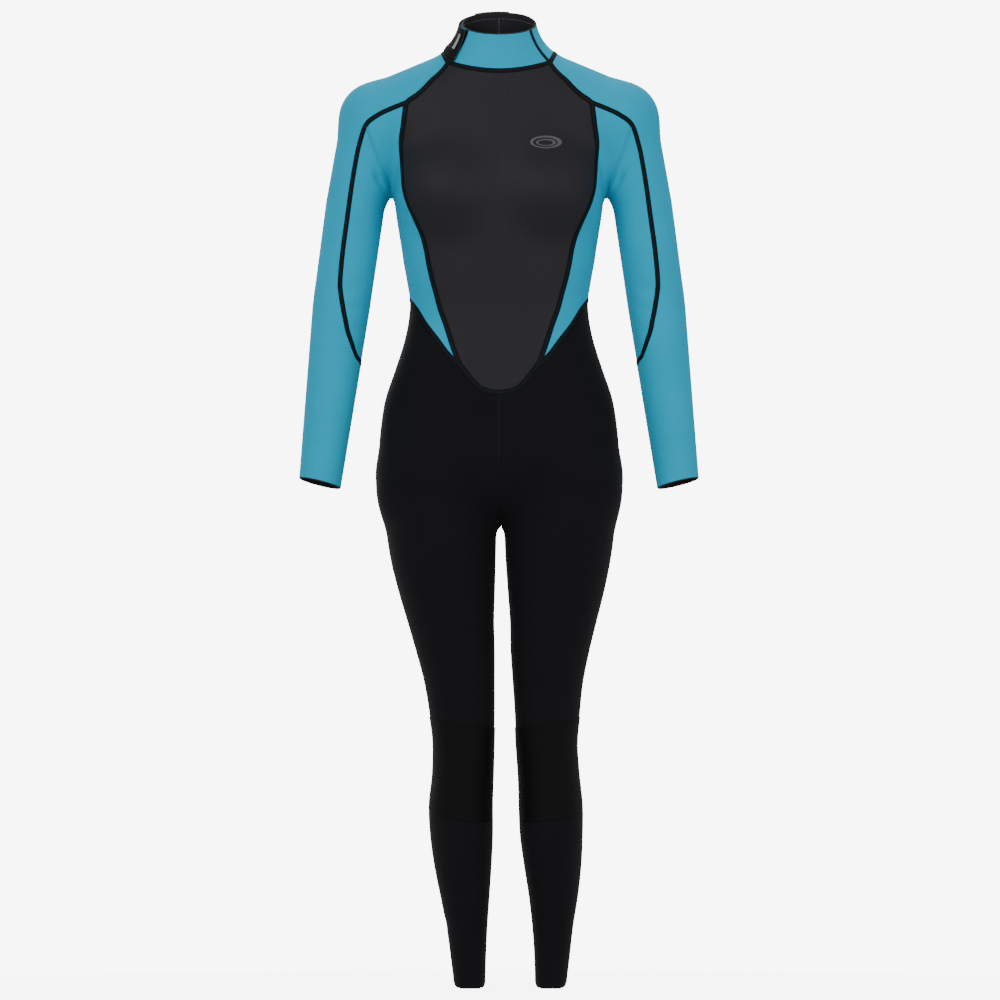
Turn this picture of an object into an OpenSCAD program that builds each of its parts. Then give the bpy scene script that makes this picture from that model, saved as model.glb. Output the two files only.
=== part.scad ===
// Full wetsuit, long sleeves and full legs, entered through a zip at the centre back.
// Every panel is a 3 mm sheet cut from one body surface, joined by flatlock seam bands.
// X runs to the wearer's left, the front faces -Y, Z is up and the ankle hems stand at Z = 0.

/* [Suit] */
// Thickness of the neoprene panels, mm
panel_thickness = 3; // [2:0.5:4]
// Gap left between two panels under their seam, mm
panel_gap = 0.9; // [0.5:0.1:1.1]
// Width of a flatlock seam band, mm
seam_width = 7; // [4:0.5:8]
// Height of a seam band above the panels, mm
seam_height = 0.7; // [0.4:0.1:1]
// Height of the knee pads above the leg, mm
pad_height = 1; // [0.6:0.1:1.5]

/* [Collar] */
// Height of the collar's top edge at the front, mm
collar_front_z = 1400; // [1392:1:1404]
// Height of the collar's top edge at the back, mm
collar_back_z = 1435; // [1425:1:1440]

/* [Zip] */
// Height of the lower end of the zip, mm
zip_low_z = 962; // [950:1:990]
// Height of the upper end of the zip, mm
zip_high_z = 1356; // [1345:1:1360]
// Distance between two teeth on the same side, mm
tooth_pitch = 5; // [4:0.5:6]
// Half width of the opening between the back panels, mm
zip_half = 8; // [7.5:0.5:9]

/* [Hidden] */
$fn = 32;
turquoise = [0.16, 0.62, 0.74];
charcoal = [0.16, 0.16, 0.18];
black = [0.07, 0.07, 0.08];
thread = [0.04, 0.07, 0.1];
grey = [0.42, 0.43, 0.46];
metal = [0.62, 0.64, 0.66];

// ---- body sections -------------------------------------------------------
// trunk sections every 45 mm from Z = 640: half width, depth to the front, depth to the back
section_step = 45;
trunk_low = 640;
trunk_rows = [
    [168, 88, 92], [172, 93, 98], [176, 96, 102], [177, 95, 102], [174, 92, 97],
    [167, 89, 89], [152, 86, 82], [138, 83, 78], [131, 82, 77], [137, 84, 79],
    [144, 86, 82], [151, 88, 84], [155, 88, 84], [156, 82, 82], [148, 72, 77],
    [118, 60, 69], [72, 52, 60]];
// leg sections every 45 mm from the hem: centre right, centre left, half width, centre Y, half depth
leg_rows = [
    [43, 76, 23, 14, 33], [45, 78, 26, 14, 35], [47, 79, 30, 13, 40], [50, 80, 36, 12, 47],
    [53, 79, 42, 12, 54], [55, 77, 46, 10, 58], [56, 76, 47, 7, 59], [53, 73, 45, 2, 57],
    [52, 70, 45, -4, 54], [54, 71, 48, -8, 55], [58, 72, 52, -8, 60], [64, 75, 58, -5, 66],
    [71, 80, 64, -1, 72], [77, 84, 71, 3, 78], [82, 87, 77, 6, 83], [85, 89, 81, 8, 88],
    [87, 90, 84, 8, 91], [88, 90, 86, 8, 92]];
crotch_z = 684;
shoulder = [179, 4, 1276];
neck_side = [35, 8, 1335];
upper_arm = [211, 2, 1151];
elbow = [232, 0, 1000];
wrist = [262, -26, 750];
hand = [270, -34, 690];
bust = [74, -50, 1174];
seat = [74, 44, 765];

// ---- outlines, as distance from the centre line and height ----------------
// outline shared by the chest panel and the back panels, from the neck to the tip
panel_edge = [
    [1360, 75], [1352, 80], [1342, 89], [1335, 97], [1320, 111], [1312, 120], [1302, 134], [1286, 138],
    [1270, 140], [1240, 144], [1216, 143], [1195, 142], [1173, 140], [1150, 133], [1128, 123],
    [1106, 113], [1085, 107], [1063, 103], [1041, 98], [1019, 92], [997, 86], [975, 78],
    [953, 71], [930, 63], [916, 57], [907, 50], [895, 41], [882, 29]];
neck_corner = [75, 1360];
tip_z = 875;
tip_line = [[912, 54], [903, 47], [893, 39], [882, 29], [877, 15], [875, 0]];
shoulder_point = [134, 1302];
arm_top = [195, 1268];
arm_pit = [159, 1163];
// sleeve seam rows from the wrist to the neck: seam X, seam Z, origin offset, outward angle
sleeve_rows = [
    [231, 735, 32, 14], [226, 775, 33, 10], [219, 820, 34, 8], [212, 865, 36, 7.3],
    [205, 917, 38, 7.3], [210, 930, 30, 7.3], [218, 953, 19, 7.3], [224, 975, 11, 7.3],
    [232, 1019, 0, 7.3], [233, 1041, 0, 7.3], [229, 1085, 0, 7.5], [223, 1129, 0, 8],
    [217, 1173, 0, 11], [211, 1210, 0, 16], [205, 1239, 0, 24], [195, 1268, 0, 38],
    [178, 1282, 0, 50], [160, 1291, 0, 58], [134, 1302, 0, 65], [120, 1312, 0, 67],
    [111, 1320, 0, 69], [97, 1335, 0, 70], [89, 1342, 0, 70], [80, 1352, 0, 67], [75, 1360, 0, 62]];
// underarm rows from the armhole to the elbow: seam X, seam Z, downward angle to the inside
underarm_rows = [
    [195, 1268, 71], [205, 1239, 67], [211, 1210, 58], [217, 1173, 42], [220, 1150, 31],
    [223, 1129, 23], [226, 1107, 16], [229, 1085, 11], [231, 1063, 8], [233, 1041, 7.3],
    [232, 1019, 7.3], [224, 975, 7.3], [218, 953, 7.3], [210, 930, 7.3], [206, 920, 7.3]];
// height of the hip seam against the angle round the hip, 0 at the side
hip_curve = [[0, 1012], [30, 1007], [54, 995], [72, 975], [89, 953], [102, 930], [111, 916]];
hip_x = 90;
// heights of the leg rows along the side seam and along the centre and inner leg
side_heights = [
    1012, 975, 935, 895, 855, 820, 792, 770, 750, 732, 716, 690, 655, 610, 560, 510,
    460, 415, 375, 335, 295, 250, 205, 160, 115, 70, 30, 0];
inner_heights = [
    875, 852, 825, 795, 765, 740, 718, 702, 691, 684, 680, 672, 648, 607, 560, 510,
    460, 415, 375, 335, 295, 250, 205, 160, 115, 70, 30, 0];
blend_rows = 12;

// ---- body surface ----------------------------------------------------------
// smooth value of column c in evenly spaced rows
function smooth(rows, low, z, c) =
    let (s = min(max((z - low) / section_step, 0), len(rows) - 1.001),
         i = floor(s), t = s - i,
         a = rows[max(i - 1, 0)][c], b = rows[i][c],
         d = rows[i + 1][c], e = rows[min(i + 2, len(rows) - 1)][c])
    b + t / 2 * (d - a + t * (2 * a - 5 * b + 4 * d - e + t * (3 * (b - d) + e - a)));
// rounded union of two distances
function join(a, b, k) = let (h = max(k - abs(a - b), 0) / k) min(a, b) - h * h * k / 4;
function cut(a, b, k) = -join(-a, -b, k);
// distance from an oval section
function oval(x, y, a, b, n) =
    let (r = norm([x, y]) + 0.001, q = pow(pow(abs(x) / a, n) + pow(abs(y) / b, n), 1 / n))
    r - r / q;
// distance from a tapered limb between two points
function limb(p, a, b, ra, rb) =
    let (t = min(max((p - a) * (b - a) / ((b - a) * (b - a)), 0), 1))
    norm(p - a - t * (b - a)) - ra - t * (rb - ra);
function trunk(p) =
    let (z = p.z)
    cut(cut(oval(p.x, p.y, smooth(trunk_rows, trunk_low, z, 0),
                 smooth(trunk_rows, trunk_low, z, p.y < 0 ? 1 : 2), 2.3),
            crotch_z + pow(p.y - 8, 2) / 160 - z, 50),
        z - 1345, 40);
function leg(p, side) =
    let (z = p.z, c = side * smooth(leg_rows, 0, z, side < 0 ? 0 : 1))
    oval(p.x - c, p.y - smooth(leg_rows, 0, z, 3), smooth(leg_rows, 0, z, 2),
         smooth(leg_rows, 0, z, 4), 2);
function neck(p) = oval(p.x, p.y - 8 + 0.12 * (p.z - 1330), 54, 59, 2);
// line of the centre back, straight along the zip
function spine(z) = z < 950 ? 74 + (950 - z) : 60 + (1345 - z) * 0.0368;
function upper(p) =
    let (q = [abs(p.x), p.y, p.z],
         bar = join(trunk(p), limb(q, neck_side, shoulder, 54, 53), 36),
         chest = p.z < 1260 ? join(bar, norm(q - bust) - 58, 40) : bar,
         body = p.z > 1250 ? join(chest, neck(p), 46) : chest,
         back = p.y > 0 ? cut(body, p.y - spine(p.z) - 0.4 * max(q.x - 13, 0), 8) : body)
    q.x < 120 ? back :
    join(back, min(limb(q, shoulder, upper_arm, 53, 43.5), limb(q, upper_arm, elbow, 43.5, 42.3),
                   limb(q, elbow, wrist, 42.3, 31.5), limb(q, wrist, hand, 31.5, 30)), 16);
function lower(p) =
    let (q = [abs(p.x), p.y, p.z], legs = min(leg(p, -1), leg(p, 1)))
    p.z < 560 ? legs :
    join(join(trunk(p), cut(legs, p.z - 778, 40), 24), norm(q - seat) - 66, 40);
function suit(p) = p.z < 800 && abs(p.x) < 200 ? lower(p) :
    p.z < 950 && abs(p.x) < 195 ? join(upper(p), norm([abs(p.x), p.y, p.z] - seat) - 66, 40) :
    upper(p);
function slope(p) =
    let (e = 0.5, f = suit(p), g = [suit(p + [e, 0, 0]) - f, suit(p + [0, e, 0]) - f,
                                    suit(p + [0, 0, e]) - f])
    g / norm(g);
// point where a ray from o along d leaves the body
function leave(o, d, near, far, n = 13) =
    n == 0 ? o + d * (near + far) / 2 :
    let (mid = (near + far) / 2)
    suit(o + d * mid) < 0 ? leave(o, d, mid, far, n - 1) : leave(o, d, near, mid, n - 1);
// the same, where another part of the body lies beyond: steps out to the first way out
function walk(o, d, t, step) =
    t > 150 || suit(o + d * (t + step)) > 0 ? leave(o, d, t, t + step, 9) :
    walk(o, d, t + step, step);
function turn(side, angle) = [side * cos(angle), -sin(angle), 0];
// point on the front (face = -1) or back (face = 1) above position x, z
function face_point(x, z, face) = leave([x, 0, z], [0, face, 0], 0, 140);
// point round the hip and side at an angle, 0 at the side and 90 at the front
// the rays round the side start nearer the armhole towards the shoulder
function side_x(z) = let (t = min(max((z - 1070) / 95, 0), 1)) mix(hip_x, 140, t * t * (3 - 2 * t));
function side_point(side, angle, z) = walk([side * side_x(z), 0, z], turn(side, angle), 4, 5);
function side_angle(side, p) = atan2(-p.y, side * p.x - side_x(p.z));
function leg_origin(side, z) = [side * smooth(leg_rows, 0, z, side < 0 ? 0 : 1), 8, z];
function leg_point(side, angle, z) =
    let (o = leg_origin(side, z), inward = max(-cos(angle), 0.001))
    leave(o, turn(side, angle), 0, min((abs(o.x) - 0.3) / inward, 150));
function leg_angle(side, p) = let (o = leg_origin(side, p.z))
    atan2(-(p.y - o.y), side * (p.x - o.x));
// point round the sleeve: from origin o, in the plane of direction d, at an angle from d
function sleeve_point(o, d, angle) =
    let (l = cuff_lean(o.z)) walk(o, d * cos(angle) - [0, cos(l), -sin(l)] * sin(angle), 0, 8);
// the cuff is cut square to the forward-leaning forearm
function cuff_lean(z) = 7 * min(max((917 - z) / 100, 0), 1);

// ---- sheets and bands ------------------------------------------------------
function mix(a, b, t) = a + (b - a) * t;
function row_at(rows, s) =
    let (i = min(floor(s), len(rows) - 2)) mix(rows[i], rows[i + 1], s - i);
function flat(grid) = [for (row = grid) for (p = row) p];
// closed sheet between two heights over a grid of surface points
module sheet(grid, turned, high = 0, low = -panel_thickness) {
    rows = len(grid);
    cols = len(grid[0]);
    count = rows * cols;
    normals = [for (row = grid) [for (p = row) slope(p)]];
    top = [for (i = [0:rows - 1]) for (j = [0:cols - 1]) grid[i][j] + high * normals[i][j]];
    bottom = [for (i = [0:rows - 1]) for (j = [0:cols - 1]) grid[i][j] + low * normals[i][j]];
    rim = concat([for (j = [0:cols - 2]) j], [for (i = [0:rows - 2]) i * cols + cols - 1],
                 [for (j = [cols - 1:-1:1]) (rows - 1) * cols + j],
                 [for (i = [rows - 1:-1:1]) i * cols]);
    faces = concat(
        [for (i = [0:rows - 2]) for (j = [0:cols - 2]) let (a = i * cols + j)
            each [[a, a + 1, a + cols + 1], [a, a + cols + 1, a + cols]]],
        [for (i = [0:rows - 2]) for (j = [0:cols - 2]) let (a = count + i * cols + j)
            each [[a + cols + 1, a + 1, a], [a + cols, a + cols + 1, a]]],
        [for (k = [0:len(rim) - 1]) let (a = rim[k], b = rim[(k + 1) % len(rim)])
            each [[b, a, a + count], [b, a + count, b + count]]]);
    polyhedron(concat(top, bottom), turned ? [for (f = faces) [f[2], f[1], f[0]]] : faces);
}
// seam band laid along a line of surface points
module band(line, width = seam_width, high = seam_height, low = -0.5, closed = false) {
    n = len(line);
    last = closed ? n : n - 1;
    ring = [for (i = [0:n - 1])
        let (p = line[i], up = slope(p),
             ahead = line[closed ? (i + 1) % n : min(i + 1, n - 1)],
             behind = line[closed ? (i + n - 1) % n : max(i - 1, 0)],
             side = cross(up, ahead - behind), across = side / norm(side) * width / 2)
        each [p + across + up * high, p - across + up * high,
              p - across + up * low, p + across + up * low]];
    walls = [for (i = [0:last - 1]) for (k = [0:3])
        let (a = 4 * i + k, b = 4 * i + (k + 1) % 4,
             c = (4 * i + 4) % (4 * n) + (k + 1) % 4, d = (4 * i + 4) % (4 * n) + k)
        each [[c, b, a], [d, c, a]]];
    ends = closed ? [] : [[2, 3, 0], [1, 2, 0],
        [4 * n - 2, 4 * n - 3, 4 * n - 4], [4 * n - 1, 4 * n - 2, 4 * n - 4]];
    polyhedron(ring, concat(walls, ends));
}

// ---- seam lines ------------------------------------------------------------
function edge_x(z) = z < 882 ? 29 * sqrt(max(z - tip_z, 0) / 7) : lookup(z, panel_edge);
function neck_front_z(x) = 1347 + 13 * pow(x / neck_corner.x, 2);
function neck_back_z(x) = 1364 - 4 * pow(x / neck_corner.x, 2);
function neck_z(x, face) = face < 0 ? neck_front_z(x) : neck_back_z(x);
function neck_plane(side, angle, shift = 0) =
    sleeve_point([side * (neck_corner.x - shift * sin(62)), 0, neck_corner.y + shift * cos(62)],
                 [side * cos(62), 0, sin(62)], angle);
// lower edge of the collar on one side, at the front, over the shoulder and at the back
function neck_front(side, up = 0) =
    [for (x = [0:12.5:75]) face_point(side * x, neck_front_z(x) + up, -1)];
function neck_side_line(side, first = 60, shift = 0) =
    [for (a = [first, each [60:-30:-60]]) neck_plane(side, a, shift)];
function neck_back(side, inset, up = 0) =
    [for (x = [75:-12.5:0]) face_point(side * max(x, inset), neck_back_z(x) + up, 1)];
function neck_loop(side) = concat(neck_front(side), [for (a = [60:-30:-60]) neck_plane(side, a)],
                                  neck_back(side, 10));
function reversed(list) = [for (i = [len(list) - 1:-1:0]) list[i]];
function rest(list) = [for (i = [1:len(list) - 1]) list[i]];
// outline of the chest panel or of both back panels, from one neck corner round the tip
function edge_half(side, face) = concat(
    [for (r = panel_edge) face_point(side * r[1], r[0], face)],
    [face_point(side * 15, 877, face)]);
function edge_loop(face) =
    concat(edge_half(-1, face), [face_point(0, tip_z, face)], reversed(edge_half(1, face)));
function sleeve_seam_line(side) = concat(
    [for (s = [18:-1:5]) let (r = sleeve_rows[s]) face_point(side * r[0], r[1], -1)],
    [let (r = sleeve_rows[4]) sleeve_point(sleeve_origin(side, r), sleeve_way(side, r), 180)],
    [for (s = [5:18]) let (r = sleeve_rows[s]) face_point(side * r[0], r[1], 1)]);
function forearm_line(side) =
    [for (s = [4:-0.5:0]) let (r = row_at(sleeve_rows, s))
        sleeve_point(sleeve_origin(side, r), sleeve_way(side, r), 180)];
function centre_line() = concat(
    [for (i = [0:9]) leave([0, 8, inner_heights[i] - 3], [0, -1, 0], 0, 140)],
    [leave([0, 8, 720], [0, 0, -1], 0, 60)],
    [for (i = [9:-1:0]) leave([0, 8, inner_heights[i] - 3], [0, 1, 0], 0, 140)]);
function hip_line(side) =
    [for (a = [111:-9.25:-111]) side_point(side, a, lookup(abs(a), hip_curve))];
function armhole_point(side, angle, shift = 0) =
    let (d = [arm_pit.x - arm_top.x, 0, arm_pit.y - arm_top.y] / norm(arm_pit - arm_top))
    sleeve_point([side * (arm_top.x - shift * d.z), 0, arm_top.y + shift * d.x],
                 [side * d.x, 0, d.z], angle);
// keeps a point of the side panel at least some room inside the armhole
function keep_in(side, p, room) =
    let (d = (arm_pit - arm_top) / norm(arm_pit - arm_top),
         past = (side * p.x - arm_top.x) * -d.y + (p.z - arm_top.y) * d.x + room)
    p.z < 1120 || past < 0 ? p :
    settle(settle([p.x + side * past * d.y, p.y, p.z - past * d.x]));
function settle(p) = p - suit(p) * slope(p);
function armhole_line(side, shift = 0) = [for (a = [90:-12:-90]) armhole_point(side, a, shift)];

// ---- panel grids -----------------------------------------------------------
// grid between a left and a right edge whose top row follows a third line, all as angle and height
function patch(left, right, top, fade) =
    [for (i = [0:len(left) - 1])
        [for (j = [0:len(top) - 1])
            let (u = j / (len(top) - 1), w = pow(max(1 - i / fade, 0), 1.5))
            mix(left[i], right[i], u) + w * (top[j] - mix(top[0], top[len(top) - 1], u))]];
function chest_grid() =
    [for (i = [0:20])
        let (v = i / 20)
        [for (j = [-7:7])
            let (u = j / 7, z = mix(neck_front_z(neck_corner.x * u) - panel_gap / 2, tip_z + 7 * u * u, v))
            face_point(u * (edge_x(max(z, 882)) - panel_gap / 2), z, -1)]];
function back_grid(side) =
    [for (i = [0:24])
        let (v = i / 24)
        [for (j = [0:6])
            let (u = j / 6, z = mix(neck_back_z(neck_corner.x * u) - panel_gap / 2, tip_z + 7 * u * u, v),
                 inner = z > zip_low_z - 8 ? zip_half : max(zip_half - (zip_low_z - 8 - z), 0.25))
            face_point(side * mix(inner, edge_x(max(z, 882)) - panel_gap / 2, u), z, 1)]];
function side_grid(side) =
    let (g = panel_gap / 2,
         rows = 14,
         front = [for (i = [0:rows])
             let (z = mix(shoulder_point.y - g, 916, i / rows),
                  p = face_point(side * (edge_x(z) + g), z, -1)) [side_angle(side, p), z]],
         back = [for (i = [0:rows])
             let (z = mix(shoulder_point.y - g, 916, i / rows),
                  p = face_point(side * (edge_x(z) + g), z, 1)) [side_angle(side, p), z]],
         over = [for (s = [18:-0.75:15]) let (r = row_at(sleeve_rows, s), d = r[3])
             [side * (r[0] - g * cos(d)), r[1] - g * sin(d)]],
         top = concat(
             [for (q = over) face_point(q.x, q.y, -1)],
             [for (a = [78:-12:-78]) armhole_point(side, a, -g)],
             [for (k = [len(over) - 1:-1:0]) face_point(over[k].x, over[k].y, 1)]),
         top_angles = [for (p = top) [side_angle(side, p), p.z]],
         n = len(top) - 1,
         low = [for (j = [0:n]) let (a = mix(front[rows][0], back[rows][0], j / n))
             [a, lookup(abs(a), hip_curve) + g]])
    [for (i = [0:rows])
        let (v = i / rows)
        [for (j = [0:n])
            let (u = j / n,
                 c = mix(top_angles[j], low[j], v) + mix(front[i], back[i], u)
                     - mix(mix(front[0], back[0], u), mix(front[rows], back[rows], u), v))
            i == 0 ? top[j] : keep_in(side, side_point(side, c[0], c[1]), g + 2 * i)]];
function sleeve_grid(side) =
    [for (s = [each [0:0.75:14.25], each [15:1:24]])
        let (r = row_at(sleeve_rows, s), d = sleeve_way(side, r), o = sleeve_origin(side, r),
             q = [side * r[0], 0, r[1]],
             half = r[2] < 1 ? 90 : r[1] <= 917 ? 180 :
                 let (p = face_point(q.x, q.z, -1)) atan2(-(p.y - o.y), -r[2]),
             trim = panel_gap / 2 / max(38 * sin(half), 38) * 57.3)
        [for (j = [-8:8]) sleeve_point(o, d, j / 8 * (half - trim))]];
// the forearm leans forward, and its ray origins follow it
function arm_shift(z) = z > 1000 ? 0 : (z - 1000) * 26 / 250;
function sleeve_way(side, r) = [side * cos(r[3]), 0, sin(r[3])];
function sleeve_origin(side, r) =
    [side * r[0], arm_shift(r[1]), r[1]] + sleeve_way(side, r) * r[2];
function underarm_grid(side) =
    [for (s = [0:1:14])
        let (r = row_at(underarm_rows, s),
             d = [-side * cos(r[2]), 0, -sin(r[2])],
             g = s == 0 ? panel_gap / 2 : 0,
             o = [side * (r[0] + g * sin(r[2])), arm_shift(r[1]), r[1] - g * cos(r[2])],
             trim = panel_gap / 2 / 40 * 57.3)
        [for (j = [-6:6]) sleeve_point(o, d, j / 6 * (90 - trim))]];
function leg_grid(side, face) =
    let (g = panel_gap / 2,
         hip = [for (a = [0:12:108]) side_point(side, -face * a, lookup(a, hip_curve) - g)],
         tip = [for (q = tip_line) face_point(side * (q[1] + g), q[0] - g, face)],
         top = [for (p = concat(hip, tip)) [leg_angle(side, p), p.z]],
         n = len(inner_heights) - 1,
         outer = [for (z = side_heights) [-face * 0.3, z]],
         inner = [for (z = inner_heights) [inner_angle(side, face, z), z]],
         base = patch(outer, inner, top, blend_rows))
    [for (i = [0:n])
        [for (j = [0:len(top) - 1])
            i == 0 ? concat(hip, tip)[j] : leg_point(side, base[i][j][0], base[i][j][1])]];
// angle of the centre seam, or of the inner leg below the crotch, seen from the leg's axis
function inner_angle(side, face, z) =
    z < 679 ? -face * 179.7 :
    leg_angle(side, leave([side * 0.3, 8, z], [0, face, 0], 0, 140, 14));

// ---- collar ------------------------------------------------------------------
// point of the collar at an angle from the centre front towards the wearer's left
function neck_point(angle, z) =
    leave([0, 8 - 0.12 * (z - 1330), z], [sin(angle), -cos(angle), 0], 0, 100);
function collar_top(angle) = mix(collar_front_z, collar_back_z, (1 - cos(angle)) / 2);
function neck_angle(p) = let (a = atan2(p.x, -(p.y - 8 + 0.12 * (p.z - 1330))))
    p.y > 0 && abs(a) > 179.9 ? 180 : a;
function collar_grid(line, from, to) =
    let (n = len(line) - 1)
    [for (i = [5:-1:0])
        [for (j = [0:n])
            let (a = mix(from, to, j / n), b = line[j])
            i == 0 ? b : neck_point(mix(neck_angle(b), a, i / 5), mix(b.z, collar_top(a), i / 5))]];
seam_angle = 54;
// strip round the neck between two angles and two offsets from the collar's edges
function strip_grid(from, to, steps, below) =
    [for (v = [0:4])
        [for (j = [0:steps])
            let (a = mix(from, to, j / steps), c = cos(a),
                 low = c > 0 ? mix(1387, 1366, c / 0.53) : mix(1387, 1374, -c))
            neck_point(a, mix(collar_top(a) - 4, low + below, v / 4))]];
flap_from = 166;
flap_to = 217;
tab_from = 219.8;
tab_to = 302;

// ---- zip -----------------------------------------------------------------------
zip_length = (zip_high_z - zip_low_z) / cos(2.107);
slider_top = zip_length - 4;
pin_z = slider_top - 5;
pin_y = 2.9;
module on_zip() {
    translate([0, spine(zip_low_z), zip_low_z]) rotate([2.107, 0, 0]) children();
}
module box(low, high) {
    translate(low) cube(high - low);
}
module lying(radius, half, y, z) {
    translate([-half, y, z]) rotate([0, 90, 0]) cylinder(r = radius, h = 2 * half);
}

// ---- parts ---------------------------------------------------------------------
module chest_panel() {
    color(charcoal) sheet(chest_grid(), false);
}
module side_panel(side) {
    color(turquoise) sheet(side_grid(side), side < 0);
}
module back_panel(side) {
    color(black) sheet(back_grid(side), side > 0);
}
module sleeve_panel(side) {
    color(turquoise) sheet(sleeve_grid(side), side < 0);
}
module underarm_panel(side) {
    color(turquoise) sheet(underarm_grid(side), side < 0);
}
module leg_panel(side, face) {
    color(black) sheet(leg_grid(side, face), side * face < 0);
}
module knee_pad(side) {
    grid = [for (v = [0:8])
        [for (j = [0:12])
            let (a = mix(14, 166, j / 12), w = (a - 90) / 76,
                 top = 388 + 12 * w * w - 8 * w, low = 248 - 10 * w, bow = 1 - 0.12 * w * w)
            leg_point(side, a, (top + low) / 2 + (top - low) / 2 * bow * (1 - v / 4))]];
    color(black) sheet(grid, side > 0, pad_height, -0.3);
}
module chest_badge() {
    grid = [for (v = [1:-0.5:-1])
        [for (u = [-1:0.25:1])
            face_point(69 + 23 * u * sqrt(1 - v * v / 2), 1242 + 9.5 * v * sqrt(1 - u * u / 2), -1)]];
    color(grey) sheet(grid, false, 0.5, -0.2);
}
module collar_front() {
    line = concat(reversed(rest(neck_front(-1, panel_gap))), neck_front(1, panel_gap));
    color(turquoise) sheet(collar_grid(line, -seam_angle + 0.3, seam_angle - 0.3), false);
}
module collar_back(side) {
    line = concat(neck_side_line(side, 89, panel_gap), neck_back(side, 0.4, panel_gap));
    color(turquoise)
        sheet(collar_grid(line, side * (seam_angle + 0.3), side * 179.6), side < 0);
}
module neck_flap() {
    color(black) sheet(strip_grid(flap_from, flap_to, 8, 0), false, 2.3, 0.4);
}
module neck_tab() {
    color(black) sheet(strip_grid(tab_from, tab_to, 14, 0), false, 4, 2.2);
}
module hook_patch() {
    color(black) sheet(strip_grid(tab_from + 14, tab_to - 3, 10, 3), false, 2.3, 1.5);
}
module loop_patch() {
    color(black) sheet(strip_grid(tab_from + 12, tab_to - 1, 11, 1), false, 0.9, -0.3);
}
module zip_tape(side) {
    color(black) on_zip()
        box([side > 0 ? 1.2 : -17, -4.6, -6], [side > 0 ? 17 : -1.2, -3.9, zip_length + 1]);
}
module zip_teeth(side) {
    start = side > 0 ? 0.5 : 3;
    color(black) on_zip() {
        box([side > 0 ? 3 : -4.6, -3.95, 0], [side > 0 ? 4.6 : -3, -1.6, zip_length - 5]);
        for (z = [start:tooth_pitch:zip_length - 9])
            box([side > 0 ? 0.9 : -3.2, -3.4, z], [side > 0 ? 3.2 : -0.9, -1.4, z + 2.2]);
    }
}
module top_stops() {
    color(metal) on_zip() for (x = [-4.6, 1.3])
        box([x, -3.95, zip_length - 2.6], [x + 3.3, -1.2, zip_length - 0.4]);
}
module bottom_stop() {
    color(metal) on_zip() box([-4.6, -3.95, -4.4], [4.6, -1, -1]);
}
module zip_slider() {
    z = slider_top - 15;
    color(metal) on_zip() {
        box([-6.4, -1, z], [6.4, 0.6, z + 15]);
        box([-6.4, -2.6, z + 1], [-5.2, -0.9, z + 14]);
        box([5.2, -2.6, z + 1], [6.4, -0.9, z + 14]);
        box([-0.5, -5.2, z + 9], [0.5, -0.9, z + 14]);
        box([-5.6, -6.4, z + 1], [5.6, -5.1, z + 14]);
        for (x = [-3.6, 2.3]) {
            box([x, 0.5, pin_z - 2], [x + 1.3, pin_y, pin_z + 2]);
            translate([x, pin_y, pin_z]) rotate([0, 90, 0]) cylinder(r = 2, h = 1.3);
        }
        lying(0.9, 2.5, pin_y, pin_z);
    }
}
tab_length = 34;
module pull_tab() {
    color(black) on_zip() difference() {
        union() {
            lying(1.9, 1.9, pin_y, pin_z);
            box([-1.9, pin_y - 0.8, pin_z - 6], [1.9, pin_y + 0.8, pin_z]);
            box([-4, pin_y - 0.8, pin_z - tab_length + 4], [4, pin_y + 0.8, pin_z - 4.5]);
            translate([0, pin_y - 0.8, pin_z - tab_length + 4])
                rotate([-90, 0, 0]) cylinder(r = 4, h = 1.6);
        }
        lying(0.95, 3, pin_y, pin_z);
        translate([0, pin_y - 2, pin_z - tab_length + 4])
            rotate([-90, 0, 0]) cylinder(r = 1.7, h = 4);
    }
}
module zip_flap() {
    color(black) on_zip() box([-28, -8.6, -14], [28, -7, zip_length + 4]);
}
module neck_seam() {
    color(thread) band(concat(reversed(neck_loop(-1)), rest(neck_loop(1))));
}
module collar_seam(side) {
    low = face_point(side * neck_corner.x, neck_corner.y, -1);
    start = neck_angle(low);
    color(thread) band([for (t = [0.06:0.16:1])
        neck_point(mix(start, side * seam_angle, t), mix(neck_corner.y, collar_top(seam_angle), t))], 5);
}
module chest_seam() {
    color(thread) band(edge_loop(-1));
}
module back_seam() {
    color(thread) band(edge_loop(1));
}
module sleeve_seam(side) {
    color(thread) band(sleeve_seam_line(side), 5);
}
module armhole_seam(side) {
    color(turquoise) band(armhole_line(side), 4, 0.4);
}
module forearm_seam(side) {
    color(turquoise) band(forearm_line(side), 4, 0.4);
}
module hip_seam(side) {
    color(thread) band(hip_line(side));
}
module centre_seam() {
    color(thread) band(centre_line(), 5);
}
module outer_leg_seam(side) {
    color(thread) band([for (z = side_heights) leg_point(side, 0, min(z, 1008))], 5);
}
module inner_leg_seam(side) {
    color(thread) band([for (i = [11:len(inner_heights) - 1])
        leg_point(side, 180, inner_heights[i] - (i == 11 ? 4 : 0))], 4, 0.5);
}

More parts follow.
